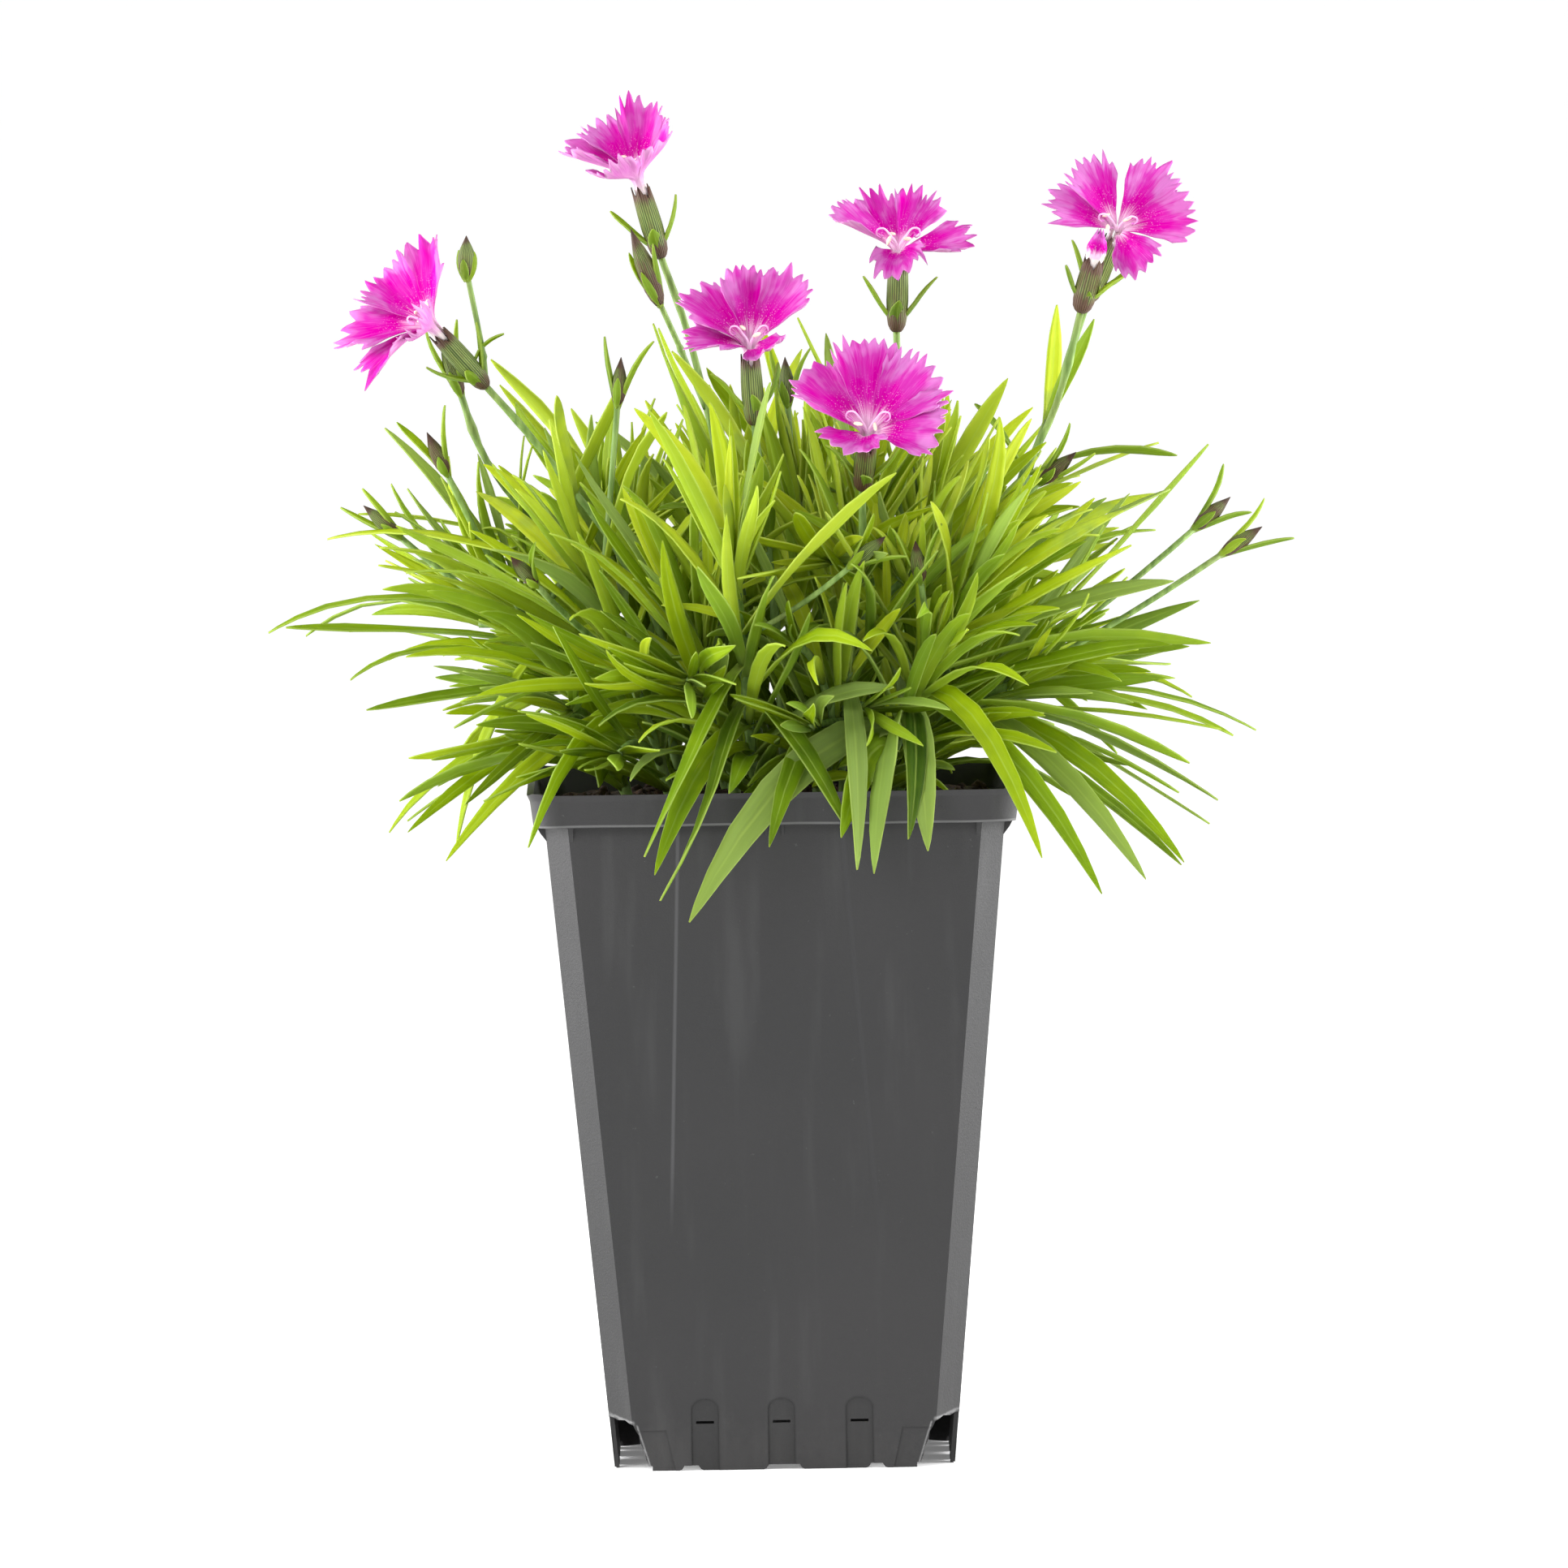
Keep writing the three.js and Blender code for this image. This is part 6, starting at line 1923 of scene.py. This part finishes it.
# %% Gussets under the rim's corners and small ribs under its front
rib_top = STEP_HEIGHT + 0.3
for quarter in range(4):
    for side in (-1, 1):
        x = side * (BODY_TOP_HALF - BODY_CHAMFER - 0.6)
        outline = ((-BODY_TOP_HALF + 0.5, rib_top), (-BODY_TOP_HALF - 1.7, rib_top),
                   (-BODY_TOP_HALF - 0.9, rib_top - 1.5), (-BODY_TOP_HALF + 0.4, rib_top - 3.2))
        gusset = plate(outline, -0.4, 0.4)
        turned(gusset, 1)  # its outline now lies along Y
        for vertex in gusset.data.vertices:
            vertex.co = (vertex.co.x + x, vertex.co.y, vertex.co.z)
        combine(pot, turned(gusset, quarter), "UNION")
for x in (-4.4, -1.6, 1.4):
    rib = box(x - 0.22, x + 0.22, -BODY_TOP_HALF - 0.3, -BODY_TOP_HALF + 0.6, rib_top - 2.2, rib_top)
    combine(pot, rib, "UNION")
edit(pot)
for spare, lift in ((5.2, 0.2), (2.6, 0.3)):
    # The lip is drawn up a little at its corners.
    select_points(pot, lambda co: co.z > POT_HEIGHT and min(abs(co.x), abs(co.y)) > RIM_HALF - spare)
    move((0, 0, lift))
close_edit()
shrink(pot)
apply_modifier(pot, "BEVEL", width=0.00022, segments=2, limit_method="ANGLE", angle_limit=math.radians(38),
               use_clamp_overlap=True)
deselect()
pot.select_set(True)
bpy.context.view_layer.objects.active = pot
bpy.ops.object.shade_smooth_by_angle(angle=math.radians(32))
# The large faces decide the shading, so the walls look flat right up to their rounded edges.
apply_modifier(pot, "WEIGHTED_NORMAL", mode="FACE_AREA", weight=100, keep_sharp=True)
print("pot:", len(pot.data.polygons), "faces")

# %% [markdown]
# ### The pot's finish
# Matt dark grey plastic with a fine grain from the mould. It carries faint flow lines down the wall, a few
# scuffs, dried soil in streaks near the foot, and whitened stress marks along the torn corners. Light and
# shade are also painted on it: a painted highlight and a painted shade band along two creases of the front
# wall, painted shade in the drain channels, and a painted highlight along the rim band's lower edge with a
# painted shadow line under it.

# %% Pot finish
finish = pot_finish = Finish("pot_plastic", Specular_IOR_Level=0.42)
here = finish.place()
x, y, z = finish.parts(here)
grain = finish.noise(here, 2600, 2)
cloudy = finish.noise(here, 16, 3)
runs = finish.noise(finish.stretch(here, 1, 1, 0.08), 210, 3)
dust = finish.noise(here, 700, 4, 0.65)
base_grey = finish.mix(cloudy.step(0.3, 0.7), colour(25, 25, 26), colour(32, 31, 32))
base_grey = finish.mix(runs.step(0.5, 0.8) * 0.14, base_grey, colour(78, 78, 78))
low = 1 - z.step(0.001, 0.022)
dirt = (dust * 0.6 + runs * 0.6 + low * 0.5 - 0.6).step(0.25, 0.6) * low
base_grey = finish.mix(dirt * 0.1, base_grey, colour(96, 94, 92))
specks = dust.step(0.68, 0.76) * 0.14
base_grey = finish.mix(specks, base_grey, colour(112, 111, 110))
# The distance from two creases that run down the front wall. Painted light: the first crease gets a pale
# painted highlight line, the second a dark painted shade band.
front = 1 - (y + 0.03).step(0.0, 0.004)
crease_one = abs(x + 0.0179 + (z - 0.117) * -0.032)
crease_two = abs(x - 0.0125 + (z - 0.1148) * 0.078)
one = (1 - crease_one.step(0.0001, 0.0005)) * z.step(0.042, 0.06) * front
two = (1 - crease_two.step(0.0001, 0.0007)) * z.step(0.036, 0.06) * front
# Painted highlight along the first crease, painted shade along the second.
base_grey = finish.mix(one * 0.3, base_grey, colour(88, 88, 90))
base_grey = finish.mix(two * 0.4, base_grey, colour(34, 34, 36))
# Whitened edge of the torn corners: a band just outside the tear's outline.
side_x = abs(x)
tear_line = (side_x - 0.0246) * 3.2
ragged = (dust - 0.5) * 0.0012
slanted = 1 - abs(z - tear_line - 0.0003 + ragged).step(0.0, 0.0009)
slanted = slanted * side_x.step(0.0238, 0.0246) * (1 - z.step(0.0082, 0.0088))
level_line = 0.0088 + (side_x - 0.0279) * 0.33
level = (1 - abs(z - level_line - 0.0002 + ragged).step(0.0, 0.0005)) * side_x.step(0.0274, 0.0279)
base_grey = finish.mix((slanted + level) * front * dust * 0.7, base_grey, colour(165, 165, 165))
# Painted shade: the drain channels in the front wall are painted a shade darker than the wall, most of all at
# their edge.
for middle, width in CHANNELS:
    half = width / 2 * MM
    from_middle = abs(x - middle * MM)
    head = (z - (CHANNEL_TOP * MM - half * 0.8)) / 0.8
    reach = (from_middle ** 2 + (head * head.step(0.0, 0.0001)) ** 2) ** 0.5
    inside = (1 - reach.step(half - 0.0003, half)) * front
    edge = (1 - abs(reach - half).step(0.0, 0.0004)) * front
    # Painted shade inside each channel, and darker painted shade along its edge.
    base_grey = finish.mix(inside * 0.3, base_grey, colour(16, 16, 16))
    base_grey = finish.mix(edge * 0.35, base_grey, colour(10, 10, 10))
# Painted light: the rim band ends in a thin painted highlight that waves a little along its lower edge, with
# a painted shadow line under it.
waved = z + (finish.noise(finish.stretch(here, 1, 1, 0), 60, 1) - 0.5) * 0.0006
painted_rim_highlight = 1 - abs(waved - 0.1201).step(0.0001, 0.0003)
painted_rim_shadow = waved.step(0.1176, 0.1197) * (1 - waved.step(0.1198, 0.1199))
# Painted shadow line under the rim band.
base_grey = finish.mix(painted_rim_shadow * 0.7, base_grey, colour(8, 8, 8))
# Painted highlight along the rim band's lower edge.
base_grey = finish.mix(painted_rim_highlight * 0.45, base_grey, colour(110, 110, 110))
finish.feed(Base_Color=base_grey, Roughness=0.44 + grain * 0.1 + dirt * 0.2)
finish.bump(grain * 0.5 + runs * 0.25 + one * 0.5 - two * 0.7, 0.00006)
pot.data.materials.clear()
pot.data.materials.append(pot_finish.material)
finished(pot, "pot_plastic", "pot")

# %% [markdown]
# ### The soil
# Dark peat fills the pot. Its body is a fine grid that is pushed down to the pot's floor and
# cut to the pot's corners; its top is domed and roughened. Crumbs lie on it in all sizes: one
# crumb is modelled as a dented ball, and the copies are turned and resized.

# %% Model the soil and its crumbs
SOIL_GAP = 0.3
soil_edge = STEP_HEIGHT - 1.2
soil_half = body_half(soil_edge) - WALL - SOIL_GAP
soil_foot = FLOOR_TOP + SOIL_GAP
SOIL_CELLS = 56
soil = add_shape(bpy.ops.mesh.primitive_grid_add, x_subdivisions=SOIL_CELLS, y_subdivisions=SOIL_CELLS,
                 size=2 * soil_half, location=(0, 0, soil_foot), name="peat")
apply_place()
edit(soil)
select_all()
extrude((0, 0, soil_edge - soil_foot))
select_points(soil, lambda co: co.z < soil_foot + 1)
narrow = (body_half(soil_foot) - WALL - SOIL_GAP) / soil_half
resize((narrow, narrow, 1), (0, 0, soil_foot))
for quarter in range(4):
    turn = (quarter + 0.5) * math.pi / 2
    way = Vector((math.cos(turn), math.sin(turn), 0))
    # The cut leans as the pot's corners do, so it passes through both ends of the corner.
    top_corner = way * (soil_half * math.sqrt(2) - BODY_CHAMFER / math.sqrt(2))
    foot_corner = way * (narrow * soil_half * math.sqrt(2) - BODY_CHAMFER / math.sqrt(2))
    rise = top_corner - foot_corner + Vector((0, 0, soil_edge - soil_foot))
    cut_normal = rise.cross(Vector((-way.y, way.x, 0))).normalized()
    if cut_normal.dot(way) < 0:
        cut_normal.negate()
    select_all()
    cut_place = top_corner + Vector((0, 0, soil_edge))
    bpy.ops.mesh.bisect(plane_co=cut_place, plane_no=cut_normal, use_fill=True, clear_outer=True)
close_edit()
for vertex in soil.data.vertices:
    if vertex.co.z > soil_edge - 1:
        reach = max(abs(vertex.co.x), abs(vertex.co.y)) / RIM_HALF
        vertex.co.z = soil_edge + (soil_top(vertex.co.x, vertex.co.y) - soil_edge) * min(1, (1 - reach) * 14)
group = soil.vertex_groups.new(name="surface")
group.add([v.index for v in soil.data.vertices
           if v.co.z > soil_edge + 0.2 and max(abs(v.co.x), abs(v.co.y)) < soil_half - 0.5], 1.0, "REPLACE")
lumps = bpy.data.textures.new("peat_lumps", "CLOUDS")
lumps.noise_scale = 3.2
lumps.noise_depth = 3
apply_modifier(soil, "DISPLACE", texture=lumps, strength=2.6, mid_level=0.5, vertex_group="surface",
               direction="Z")
face_outwards(soil)
shrink(soil)
bpy.ops.object.shade_smooth_by_angle(angle=math.radians(50))

finish = peat_finish = Finish("peat_soil", Roughness=0.95, Specular_IOR_Level=0.2)
here = finish.place()
clods = finish.noise(here, 420, 4, 0.7)
fibres = finish.noise(finish.stretch(here, 1, 3, 1), 1300, 2)
earth = finish.ramp(clods, (0.3, colour(28, 20, 16)), (0.55, colour(52, 38, 30)), (0.75, colour(84, 64, 50)))
earth = finish.mix(fibres.step(0.62, 0.72) * 0.5, earth, colour(120, 96, 70))
finish.feed(Base_Color=earth)
finish.bump(clods, 0.0009)
soil.data.materials.append(peat_finish.material)
finished(soil, "peat", "soil")

crumb = add_shape(bpy.ops.mesh.primitive_ico_sphere_add, subdivisions=2, radius=1, name="peat_crumb")
dents = bpy.data.textures.new("crumb_dents", "CLOUDS")
dents.noise_scale = 0.7
apply_modifier(crumb, "DISPLACE", texture=dents, strength=0.9, mid_level=0.5)
apply_modifier(crumb, "DECIMATE", ratio=0.28)
crumb_template, crumb_points = as_template(crumb, peat_finish.material)
CRUMBS = 420
CRUMB_REACH = 39.5
crumbs = []
for number in range(CRUMBS):
    x, y = between(-CRUMB_REACH, CRUMB_REACH), between(-CRUMB_REACH, CRUMB_REACH)
    size = 0.35 + 1.5 * draw() ** 3
    way = unit(point(between(-1, 1), between(-1, 1), between(0.2, 1)))
    shape = crumb_points * point(size, size * between(0.6, 1), size * between(0.5, 0.8))
    place = point(x, y, soil_top(x, y) + size * 0.1)
    crumbs.append(lay_copy(crumb_template, upright_to(place, way, shape, between(0, 6))))
finished(join(crumbs, "peat_crumbs"), "peat", "soil")

# %% [markdown]
# ## Finish
# Last, the box of the dressed plant is set beside the box of the construction model, because
# a finer skin must not change the size of the part.

# %% Measure and finish
visual_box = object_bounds()
boxes = {"construction": construction_box, "visual": visual_box}
{name: [list(corner) for corner in corners] for name, corners in boxes.items()}
print("visual box, mm:", [[round(c * 1000, 1) for c in corner] for corner in visual_box])
